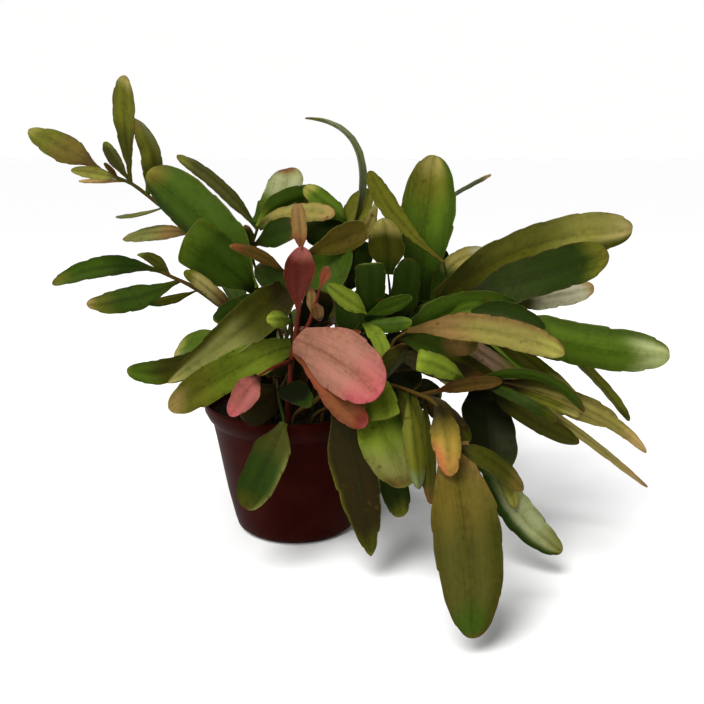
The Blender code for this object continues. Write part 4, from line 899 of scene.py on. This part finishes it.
def bendPad(laid, blanks, number):
    form = padForm
    item = laid["item"]
    chance = random.Random(number)
    small = item["width"] < form["smallWidth"]
    mesh = blanks["small" if small else "broad"].data.copy()
    x, y, z = readPoints(mesh)
    t = 1 - (1 - (x + 1) / 2) ** form["tipCrowding"]
    across = np.sign(y) * np.abs(y) ** form["ribCrowding"]
    shares = [i / form["courseSteps"] for i in range(form["courseSteps"] + 1)]
    line = [onArc(laid["knots"], share) for share in shares]
    centred = round(laid["centreShare"] * form["courseSteps"])
    centre, side, up = readCourse(shares, line, *bothWays(line, centred, laid["first"]), t)
    turn = np.radians(form["twist"] * chance.uniform(-1, 1)) * (t - laid["centreShare"])[:, None]
    side, up = side * np.cos(turn) + up * np.sin(turn), up * np.cos(turn) - side * np.sin(turn)

    width = item["width"] * mm
    metres = t * laid["length"]
    pitch = max(width * form["notchPitch"], form["leastPitch"])
    shift = chance.random()
    turns = metres / pitch + shift + np.where(y > 0, 0.5, 0.0)
    turns += form["notchDrift"] * np.sin(metres / pitch * 2.3 + number)
    # the margin swells slowly towards the tip and steps back at each notch
    notch = 1 - smoothShare((turns % 1.0) / form["notchSwell"])
    alive = np.clip(t / form["plainRoot"], 0, 1) * np.clip((1 - t) / form["plainTip"], 0, 1)
    mean, varying = form["notchDepths"]
    uneven = mean + varying * np.sin(np.floor(turns) * 2.4 + number + np.sign(y))
    depth = np.minimum(width * form["notchDepth"], form["notchDeepest"]) * alive * uneven
    nibble = np.sin(metres / form["nibbleLength"] + number + 2 * np.sign(y))
    half = np.maximum(outlineAt(item["habit"], t) * width / 2, form["leastHalf"])
    half = half - depth * notch + form["nibble"] * alive * nibble
    half = np.maximum(half, form["leastNotched"])
    offset = across * half

    middle = min(form["middle"], form["narrowMiddle"] + width * form["middleGain"])
    ending, thinnest = form["tipThinning"]
    lens = (1 - across ** 2) ** form["lens"] * np.clip((1 - t) / ending, thinnest, 1)
    thick = form["edge"] + (middle - form["edge"]) * lens
    rib = form["rib"] * np.exp(-(offset / form["ribWidth"]) ** 2) * (1 - t) ** 0.5
    rib *= form["smallRib"] if small else 1.0
    fold = 0.5 * across ** 2 + 0.5 * np.abs(across) ** 1.2
    cup = form["cup"] * chance.choice(form["cups"]) * fold * half
    wave = np.sin(metres / pitch * math.pi * 1.1 + shift * 9 + np.where(y > 0, 1.9, 0.0))
    wave = wave * width * form["wave"] * across ** 2 * alive
    lift = cup + wave + z * (thick / 2 + rib)
    points = centre + side * offset[:, None] + up * lift[:, None]

    broad, fine = form["toneWobble"]
    wobble = broad * np.sin(3 * across + number) + fine * np.sin(11 * across - number * 2.0)
    tone = tonesAlong(item["tone"], np.clip(t + wobble * alive, 0, 1))
    if item["edge"]:
        edgeTone, edgeSide, edgeFrom, edgeStart = item["edge"]
        inward, onward = form["edgeBlend"]
        ragged = edgeFrom + form["edgeWobble"] * np.sin(9 * t + number)
        inside = smoothShare((across * edgeSide - ragged) / inward)
        tone = tinted(tone, edgeTone, inside * smoothShare((t - edgeStart) / onward))
    # one half lighter, the other darker: painted light and shade on either side of the rib
    sideShadeFactor = 1 + form["paintedSideShade"] * chance.uniform(-1, 1) * np.tanh(across / 0.15)
    tone = tone * (chance.uniform(*form["lightness"]) * sideShadeFactor)[:, None]
    areole = np.clip(1 - np.abs((turns + 0.5) % 1.0 - 0.5) * pitch / form["areole"], 0, 1) * alive
    return finishPart("pad", mesh, number, points, tone, [t, across, areole], [metres, offset])


def bendStem(line, girth, endGirth, toneNames, blanks, number):
    # the line is read again in short steps, so that the stem bends evenly
    chance = random.Random(number)
    smooth = smoothPath(line, stemForm["step"])
    steps = [0.0]
    for a, b in zip(smooth, smooth[1:]):
        steps.append(steps[-1] + (b - a).length)
    shares = [step / steps[-1] for step in steps]
    mesh = blanks["tube"].data.copy()
    x, y, z = readPoints(mesh)
    t = (x + 1) / 2
    sideways = carriedSideways(smooth, Vector((1, 0, 0)))
    centre, side, up = readCourse(shares, smooth, *sideways, t)
    metres = t * steps[-1]
    (joint, spacing), (knob, knobSpacing) = stemForm["joints"]
    joint = joint * np.sin(metres / spacing + number) + knob * np.sin(metres / knobSpacing)
    radius = (girth + (endGirth - girth) * t) / 2 * (stemForm["swell"] + joint)
    points = centre + (side * y[:, None] + up * z[:, None]) * radius[:, None]
    tone = tonesAlong(toneNames, t) * chance.uniform(*stemForm["lightness"])
    return finishPart(
        "stem", mesh, number, points, tone, [t * 0.5, y * 0.4, t * 0], [metres, y * radius])


def makeShoot(layout, blanks, skins, firstNumber):
    shoot = layout["shoot"]
    girth = shoot["girth"] * mm
    parts = []
    for i, line in enumerate(layout["lines"]):
        foot, end = stemForm["twigGirths" if i else "girths"]
        parts.append(bendStem(
            line, girth * foot, girth * end, shoot["stemTones"], blanks, firstNumber + i))
    for laid in layout["pads"]:
        parts.append(bendPad(laid, blanks, firstNumber + len(parts)))
    count = len(parts)
    piece = joinPieces(shoot["node"].replace("_shoot", "_cladodes"), parts)
    dress(piece, skins[shoot["slot"]], shoot["node"])
    return firstNumber + count


# materials


class Wire:
    # a socket in a material, with maths on it
    def __init__(self, tree, socket=None):
        self.tree = tree
        self.socket = socket

    def plug(self, node, values):
        for key, value in values.items():
            if isinstance(value, Wire):
                self.tree.links.new(value.socket, node.inputs[key])
            else:
                node.inputs[key].default_value = value

    def node(self, kind, values, out=0, stops=(), **settings):
        node = self.tree.nodes.new(kind)
        for key, value in settings.items():
            setattr(node, key, value)
        for _ in stops[2:]:
            node.color_ramp.elements.new(0.5)
        for i, (position, colour) in enumerate(stops):
            node.color_ramp.elements[i].position = position
            node.color_ramp.elements[i].color = colour
        self.plug(node, values)
        return Wire(self.tree, node.outputs[out])

    def maths(self, operation, a, b=0.0):
        return self.node("ShaderNodeMath", {0: a, 1: b}, operation=operation)

    def __add__(self, other):
        return self.maths("ADD", self, other)

    __radd__ = __add__

    def __sub__(self, other):
        return self.maths("SUBTRACT", self, other)

    def __rsub__(self, other):
        return self.maths("SUBTRACT", other, self)

    def __mul__(self, other):
        return self.maths("MULTIPLY", self, other)

    __rmul__ = __mul__

    def __abs__(self):
        return self.maths("ABSOLUTE", self)

    def between(self, low, high):
        # 0 below low, 1 above high, smooth from one to the other
        return self.node("ShaderNodeMapRange", {"Value": self, "From Min": low, "From Max": high},
                         interpolation_type="SMOOTHSTEP")

    def mix(self, factor, a, b, blend="MIX"):
        return self.node("ShaderNodeMix", {0: factor, 6: a, 7: b}, out=2,
                         data_type="RGBA", blend_type=blend)

    def axes(self):
        return [self.node("ShaderNodeSeparateXYZ", {0: self}, out) for out in range(3)]

    def stretched(self, factors):
        return self.node("ShaderNodeVectorMath", {0: self, 1: factors}, operation="MULTIPLY")

    def noise(self, scale, detail=2.0, roughness=0.5):
        return self.node("ShaderNodeTexNoise", {
            "Vector": self, "Scale": scale, "Detail": detail, "Roughness": roughness})

    def bump(self, strength, distance):
        return self.node("ShaderNodeBump", {
            "Strength": strength, "Distance": distance, "Height": self})


def newMaterial(name, constants):
    material = bpy.data.materials.new(name)
    material.use_nodes = True
    start = Wire(material.node_tree)
    shader = material.node_tree.nodes["Principled BSDF"]
    start.plug(shader, constants)
    return material, start, shader


skinLooks = {
    "green_cladode": {"rim": "mustard", "rib": "forest", "ribShare": 0.20, "scar": "brown",
                      "shine": (1.0, 1.0, 0.45, 1.0)},
    "olive_cladode": {"rim": "brick", "rib": "umber", "ribShare": 0.17, "scar": "brown",
                      "shine": (1.0, 0.97, 0.45, 1.0)},
    "dark_cladode": {"rim": "brown", "rib": "pine", "ribShare": 0.18, "scar": "umber",
                     "shine": (0.90, 1.0, 0.45, 1.0)},
    "tan_cladode": {"rim": "brick", "rib": "brown", "ribShare": 0.16, "scar": "brown",
                    "shine": (1.0, 0.95, 0.50, 1.0)},
    "red_cladode": {"rim": "coral", "rib": "wine", "ribShare": 0.32, "scar": "rust",
                    "shine": (1.0, 0.85, 0.80, 1.0)},
}


skinForm = {
    "dark": 0.42,               # how dark the mottles and streaks can get
    "fresh": 0.8,
    "mottle": 0.60,
    "streak": 0.45,
    # strength of the pale band between rib and margin: a waxy bloom and a painted highlight
    "bloomAndSheen": 0.75,
    "margin": 0.45,
    "tip": 0.35,
    "areole": 0.65,
    "scar": 0.6,
    "bump": (0.40, 0.0006),
}


def makeSkin(name, look):
    form = skinForm
    material, start, shader = newMaterial(
        name, {"Specular IOR Level": 0.10, "Specular Tint": look["shine"]})
    rimTone, ribTone, scarTone = ((*linear(look[key]), 1.0) for key in ("rim", "rib", "scar"))
    tone = start.node("ShaderNodeAttribute", {}, attribute_name="tone")
    lie = start.node("ShaderNodeAttribute", {}, out=1, attribute_name="lie")
    where = start.node("ShaderNodeAttribute", {}, out=1, attribute_name="grow")
    share, across, areole = lie.axes()
    sideways = abs(across)
    offset = where.axes()[1]
    blotch = where.noise(60.0, 3.0)
    mottle = where.noise(300.0, 4.0, 0.6)
    streak = where.stretched((45.0, 700.0, 30.0)).noise(1.0)
    grain = where.noise(1500.0)

    dark = start.mix(form["dark"], tone, (0.0, 0.0, 0.0, 1.0))
    light = start.mix(1.0, tone, (1.30, 1.28, 1.20, 1.0), "MULTIPLY")
    pale = start.mix(1.0, tone, (1.55, 1.50, 1.70, 1.0), "MULTIPLY")
    # a band between rib and margin, paler towards the tip: a waxy bloom, and a painted highlight where
    # the curved pad would catch the light
    waxAndSheenBand = sideways.between(0.06, 0.42) * (1 - sideways.between(0.45, 0.95))
    rib = (1 - abs(offset).between(0.0002, 0.0013)) * (1 - share.between(0.55, 0.95))
    scar = where.noise(130.0, 1.0).between(0.71, 0.76) * mottle.between(0.35, 0.6)
    colour = start.mix(blotch.between(0.35, 0.68) * form["fresh"], light, tone)
    for mask, strength, layer in (
        (mottle.between(0.40, 0.74), form["mottle"], dark),
        (streak.between(0.42, 0.75), form["streak"], dark),
        (waxAndSheenBand * blotch.between(0.25, 0.62) * share.between(0.05, 0.45), form["bloomAndSheen"], pale),
        (rib, look["ribShare"], ribTone),
        (sideways.between(0.93, 1.0) * mottle.between(0.35, 0.65), form["margin"], rimTone),
        (share.between(0.95, 1.0), form["tip"], rimTone),
        (areole.between(0.2, 0.9) * sideways.between(0.80, 0.97), form["areole"], scarTone),
        (scar, form["scar"], scarTone),
    ):
        colour = start.mix(mask * strength, colour, layer)
    height = grain * 0.25 + mottle * 0.5 + streak * 0.6
    start.plug(shader, {
        "Base Color": colour,
        "Roughness": 0.42 + mottle * 0.22 + scar * 0.3,
        "Normal": height.bump(*form["bump"]),
    })
    return material


potLook = {
    "plastic": (0.017, 0.0013, 0.0006, 1.0),
    "worn": (0.034, 0.0050, 0.0028, 1.0),
    "dust": (0.055, 0.026, 0.017, 1.0),
    "shine": (1.0, 0.42, 0.32, 1.0),
    "bump": (0.22, 0.0003),
}


def makePlastic():
    material, start, shader = newMaterial(
        "nurseryPotPlastic", {"Specular IOR Level": 0.03, "Specular Tint": potLook["shine"]})
    where = start.node("ShaderNodeTexCoord", {}, out=3)
    cloud = where.noise(40.0, 3.0)
    speck = where.noise(1300.0)
    scuff = where.stretched((900.0, 900.0, 60.0)).noise(1.0, 3.0)
    colour = start.mix(cloud.between(0.4, 0.7) * 0.35, potLook["plastic"], potLook["worn"])
    colour = start.mix(scuff.between(0.60, 0.78) * 0.25, colour, potLook["worn"])
    low = 1 - where.axes()[2].between(0.000, 0.012)
    dust = speck.between(0.55, 0.72) * (0.10 + low * 0.5 + cloud.between(0.55, 0.75) * 0.20)
    start.plug(shader, {
        "Base Color": start.mix(dust, colour, potLook["dust"]),
        "Roughness": 0.42 + cloud * 0.14 + dust * 0.4,
        "Normal": (speck * 0.5 + scuff * 0.5).bump(*potLook["bump"]),
    })
    return material


earthLook = {
    "damp": (0.30, (0.002, 0.0014, 0.0007, 1)),
    "peat": (0.54, (0.007, 0.004, 0.0022, 1)),
    "dry": (0.72, (0.028, 0.016, 0.008, 1)),
    "bump": (0.8, 0.001),
}


def makeEarth():
    material, start, shader = newMaterial(
        "pottingSoil", {"Roughness": 0.95, "Specular IOR Level": 0.05})
    where = start.node("ShaderNodeTexCoord", {}, out=3)
    coarse = where.noise(190.0, 4.0, 0.65)
    fine = where.noise(1400.0, 3.0)
    stops = [earthLook[key] for key in ("damp", "peat", "dry")]
    colour = start.node("ShaderNodeValToRGB", {0: coarse * 0.7 + fine * 0.3}, stops=stops)
    bump = (coarse + fine * 0.5).bump(*earthLook["bump"])
    start.plug(shader, {"Base Color": colour, "Normal": bump})
    return material


# pot and soil

potForm = {
    "segments": 96,
    "wall": 1.3 * mm,
    "outside": [
        (59.4, 88.0), (60.0, 87.2), (59.6, 82.6), (57.2, 77.6), (54.6, 74.2), (53.0, 66.0),
        (46.6, 28.5), (42.0, 7.5), (40.6, 3.0), (37.0, 0.0),
    ],
    "footInside": 31.0 * mm,
    "padRadius": 17.0 * mm,
    "rise": 2.4 * mm,
    "floorRadius": 36.5 * mm,
    "drains": 8,
    "drainRadius": 3.0 * mm,
    "drainSides": 24,
    "edgeRounding": 0.35 * mm,
    "roundedFrom": 24,          # edges bent by more degrees are rounded
    "smoothUpTo": 35,           # and those bent by fewer are shaded smooth
    "merging": 0.02 * mm,       # a ring this small becomes one point
}

soilForm = {
    "rings": 26,
    "segments": 96,
    "lumps": 3.2 * mm,
    "lumpsPerMetre": 90,
    "fineLumps": 0.9 * mm,
    "fineLumpsPerMetre": 420,
    "level": 4.0 * mm,          # the lumps sink to nothing over this strip along the pot
    "seed": 4,
    "crumbs": 700,
    "crumbSize": (0.6 * mm, 2.1 * mm),
    "crumbSpread": 0.96,
    "crumbWidth": (0.5, 1.0),
    "crumbHeight": (0.35, 0.8),
    "crumbTilt": (-0.6, 0.6),
    "crumbSunk": 0.1,
}


def turnWall(name, profile, segments):
    # a ring drawn out from point to point of the (radius, height) profile, then closed
    piece = newShape(name, bpy.ops.mesh.primitive_circle_add,
                     vertices=segments, radius=profile[0][0], fill_type="NOTHING")
    bpy.ops.object.mode_set(mode="EDIT")
    bpy.ops.mesh.select_all(action="SELECT")
    bpy.ops.transform.translate(value=(0, 0, profile[0][1]))
    for (radius, height), (nextRadius, nextHeight) in zip(profile, profile[1:]):
        bpy.ops.mesh.extrude_region_move(
            TRANSFORM_OT_translate={"value": (0, 0, nextHeight - height)})
        scale = nextRadius / radius
        bpy.ops.transform.resize(value=(scale, scale, 1), center_override=(0, 0, nextHeight))
    closeMesh(potForm["merging"])
    return piece


def innerWall():
    inside = [(r * mm - potForm["wall"], h * mm) for r, h in potForm["outside"][1:-2]]
    inside[0] = (inside[0][0], potForm["outside"][0][1] * mm)
    return inside


def makePot(plastic):
    form = potForm
    centre = form["merging"]
    rise = form["rise"]
    floorTop = rise + form["wall"]
    outside = [(r * mm, h * mm) for r, h in form["outside"]]
    under = [
        (form["footInside"], 0.0), (form["footInside"] - rise, rise),
        (form["padRadius"] + rise, rise), (form["padRadius"], 0.0), (centre, 0.0),
    ]
    inside = [(centre, floorTop), (form["floorRadius"], floorTop)] + innerWall()[::-1]
    profile = outside + under + inside + [outside[0]]
    pot = turnWall("nursery_pot", profile, form["segments"])
    middle = (form["footInside"] + form["padRadius"]) / 2
    drills = []
    for i in range(form["drains"]):
        angle = math.tau * (i + 0.5) / form["drains"]
        drills.append(newShape(
            "drill", bpy.ops.mesh.primitive_cylinder_add,
            vertices=form["drainSides"], radius=form["drainRadius"], depth=form["wall"] * 8,
            location=(middle * math.cos(angle), middle * math.sin(angle), rise)))
    drill = joinPieces("drills", drills)
    change(pot, "BOOLEAN", operation="DIFFERENCE", object=drill)
    bpy.data.objects.remove(drill)
    change(pot, "BEVEL", width=form["edgeRounding"], segments=2, limit_method="ANGLE",
           angle_limit=math.radians(form["roundedFrom"]))
    bpy.ops.object.shade_smooth_by_angle(angle=math.radians(form["smoothUpTo"]))
    dress(pot, plastic, "pot")


def soilHeight(x, y):
    where = Vector((x, y, 0.0))
    lump = noise.noise(where * soilForm["lumpsPerMetre"] + Vector((0, 0, soilForm["seed"])))
    fine = noise.noise(where * soilForm["fineLumpsPerMetre"]) * soilForm["fineLumps"]
    return growth["soilTop"] + soilForm["lumps"] * lump + fine


def makeSoil(earth):
    form = soilForm
    gap = growth["seatGap"]
    level = growth["soilTop"]
    wall = [(r - gap, h) for r, h in innerWall()]
    bottom = potForm["rise"] + potForm["wall"] + gap
    side = [point for point in wall if bottom < point[1] < level]
    above = [point for point in wall if point[1] >= level][-1]
    lean = (above[0] - side[0][0]) / (above[1] - side[0][1])
    edge = side[0][0] + (level - side[0][1]) * lean
    top = [(edge * max(i, 0.01) / form["rings"], level) for i in range(form["rings"] + 1)]
    foot = [(potForm["floorRadius"] - gap, bottom), (0.01 * mm, bottom)]
    soil = turnWall("potting_soil", top + side + foot, form["segments"])
    for corner in soil.data.vertices:
        if corner.co.z > level - gap:
            near = min((edge - corner.co.xy.length) / form["level"], 1.0)
            corner.co.z += (soilHeight(corner.co.x, corner.co.y) - level) * max(near, 0.0)
    chance = random.Random(form["seed"])
    crumb = newShape("crumb", bpy.ops.mesh.primitive_ico_sphere_add, subdivisions=1, radius=1.0)
    parts = [soil]
    for _ in range(form["crumbs"]):
        spread = edge * math.sqrt(chance.random()) * form["crumbSpread"]
        angle = chance.uniform(0, math.tau)
        x, y = spread * math.cos(angle), spread * math.sin(angle)
        size = chance.uniform(*form["crumbSize"])
        mesh = crumb.data.copy()
        width = size * chance.uniform(*form["crumbWidth"])
        shape = Matrix.Diagonal((size, width, size * chance.uniform(*form["crumbHeight"]), 1.0))
        turn = Matrix.Rotation(chance.uniform(0, math.tau), 4, "Z")
        tilt = Matrix.Rotation(chance.uniform(*form["crumbTilt"]), 4, "X")
        spot = Matrix.Translation((x, y, soilHeight(x, y) - size * form["crumbSunk"]))
        mesh.transform(spot @ turn @ tilt @ shape)
        parts.append(newPiece("crumb", mesh))
    bpy.data.objects.remove(crumb)
    dress(joinPieces("potting_soil", parts), earth, "soil")


# studio

studio = {
    "floor": (0.86, 0.86, 0.85, 1.0),
    "wall": (1.0, 1.0, 0.995, 1.0),     # the world near the horizon and behind the plant
    "room": (0.32, 0.32, 0.315, 1.0),   # and higher up on the side of the camera
    "ceiling": (0.24, 0.24, 0.255, 1.0),
    "aim": Vector((0.02, -0.02, 0.13)),
    "sun": {"power": 3.2, "softness": 30, "bearing": -125, "climb": 58},
    "lamps": [                          # place, size and power of each soft box
        ((-0.55, -0.95, 0.75), 0.45, 5.0),
        ((0.10, 0.85, 1.20), 0.70, 5.0),
    ],
}


def newLight(name, kind, power, direction):
    light = newPiece(name, bpy.data.lights.new(name, kind))
    light.data.energy = power
    light.rotation_euler = direction.to_track_quat("-Z", "Y").to_euler()
    return light


def makeStudio():
    floor = newShape("studio_floor", bpy.ops.mesh.primitive_plane_add, size=90.0)
    paint = newMaterial("paleFloor", {"Roughness": 0.9, "Base Color": studio["floor"]})[0]
    floor.data.materials.append(paint)
    world = bpy.data.worlds.new("studioSky")
    bpy.context.scene.world = world
    world.use_nodes = True
    start = Wire(world.node_tree)
    depth, climb = start.node("ShaderNodeTexCoord", {}).axes()[1:]
    around = start.mix(depth.between(-0.5, 0.5), studio["room"], studio["wall"])
    high = start.mix(climb.between(0.12, 0.55), around, studio["ceiling"])
    sky = start.mix(climb.between(0.15, 0.24), studio["wall"], high)
    start.plug(world.node_tree.nodes["Background"], {"Color": sky})
    bpy.context.scene.view_settings.view_transform = "Standard"
    look = studio["sun"]
    sun = newLight("softSun", "SUN", look["power"], -pointed(look["bearing"], look["climb"]))
    sun.data.angle = math.radians(look["softness"])
    for spot, size, power in studio["lamps"]:
        box = newLight("softBox", "AREA", power, studio["aim"] - Vector(spot))
        box.data.size = size
        box.location = spot


def makeCamera():
    camera = newPiece("photoCamera", bpy.data.cameras.new("photoCamera"))
    camera.data.sensor_width = 36.0
    camera.data.sensor_fit = "HORIZONTAL"
    camera.data.lens = view["focal"] * camera.data.sensor_width / view["width"]
    camera.data.clip_start = 0.01
    camera.location = view["eye"]
    camera.rotation_euler = (math.pi / 2 - view["down"], 0.0, 0.0)
    bpy.context.scene.camera = camera


makeCamera()
makeStudio()
print("camera, floor and lights stand")

makePot(makePlastic())
makeSoil(makeEarth())
print("pot and soil made")

for shoot in shoots:
    shoot["grown"] = innerGrowth(shoot)
layouts = [layOut(shoot) for shoot in shoots + backShoots()]
grow(layouts)
print("plant laid out:", sum(len(layout["pads"]) for layout in layouts), "pads")

blanks = {
    "broad": makeSlab("broadBlank", padForm["cells"]),
    "small": makeSlab("smallBlank", padForm["smallCells"]),
    "tube": makeTube("tubeBlank", stemForm["cells"]),
}
skins = {slot: makeSkin(slot, look) for slot, look in skinLooks.items()}
number = 1
for layout in layouts:
    number = makeShoot(layout, blanks, skins, number)
for blank in blanks.values():
    bpy.data.objects.remove(blank)
print("shoots made:", len(layouts))
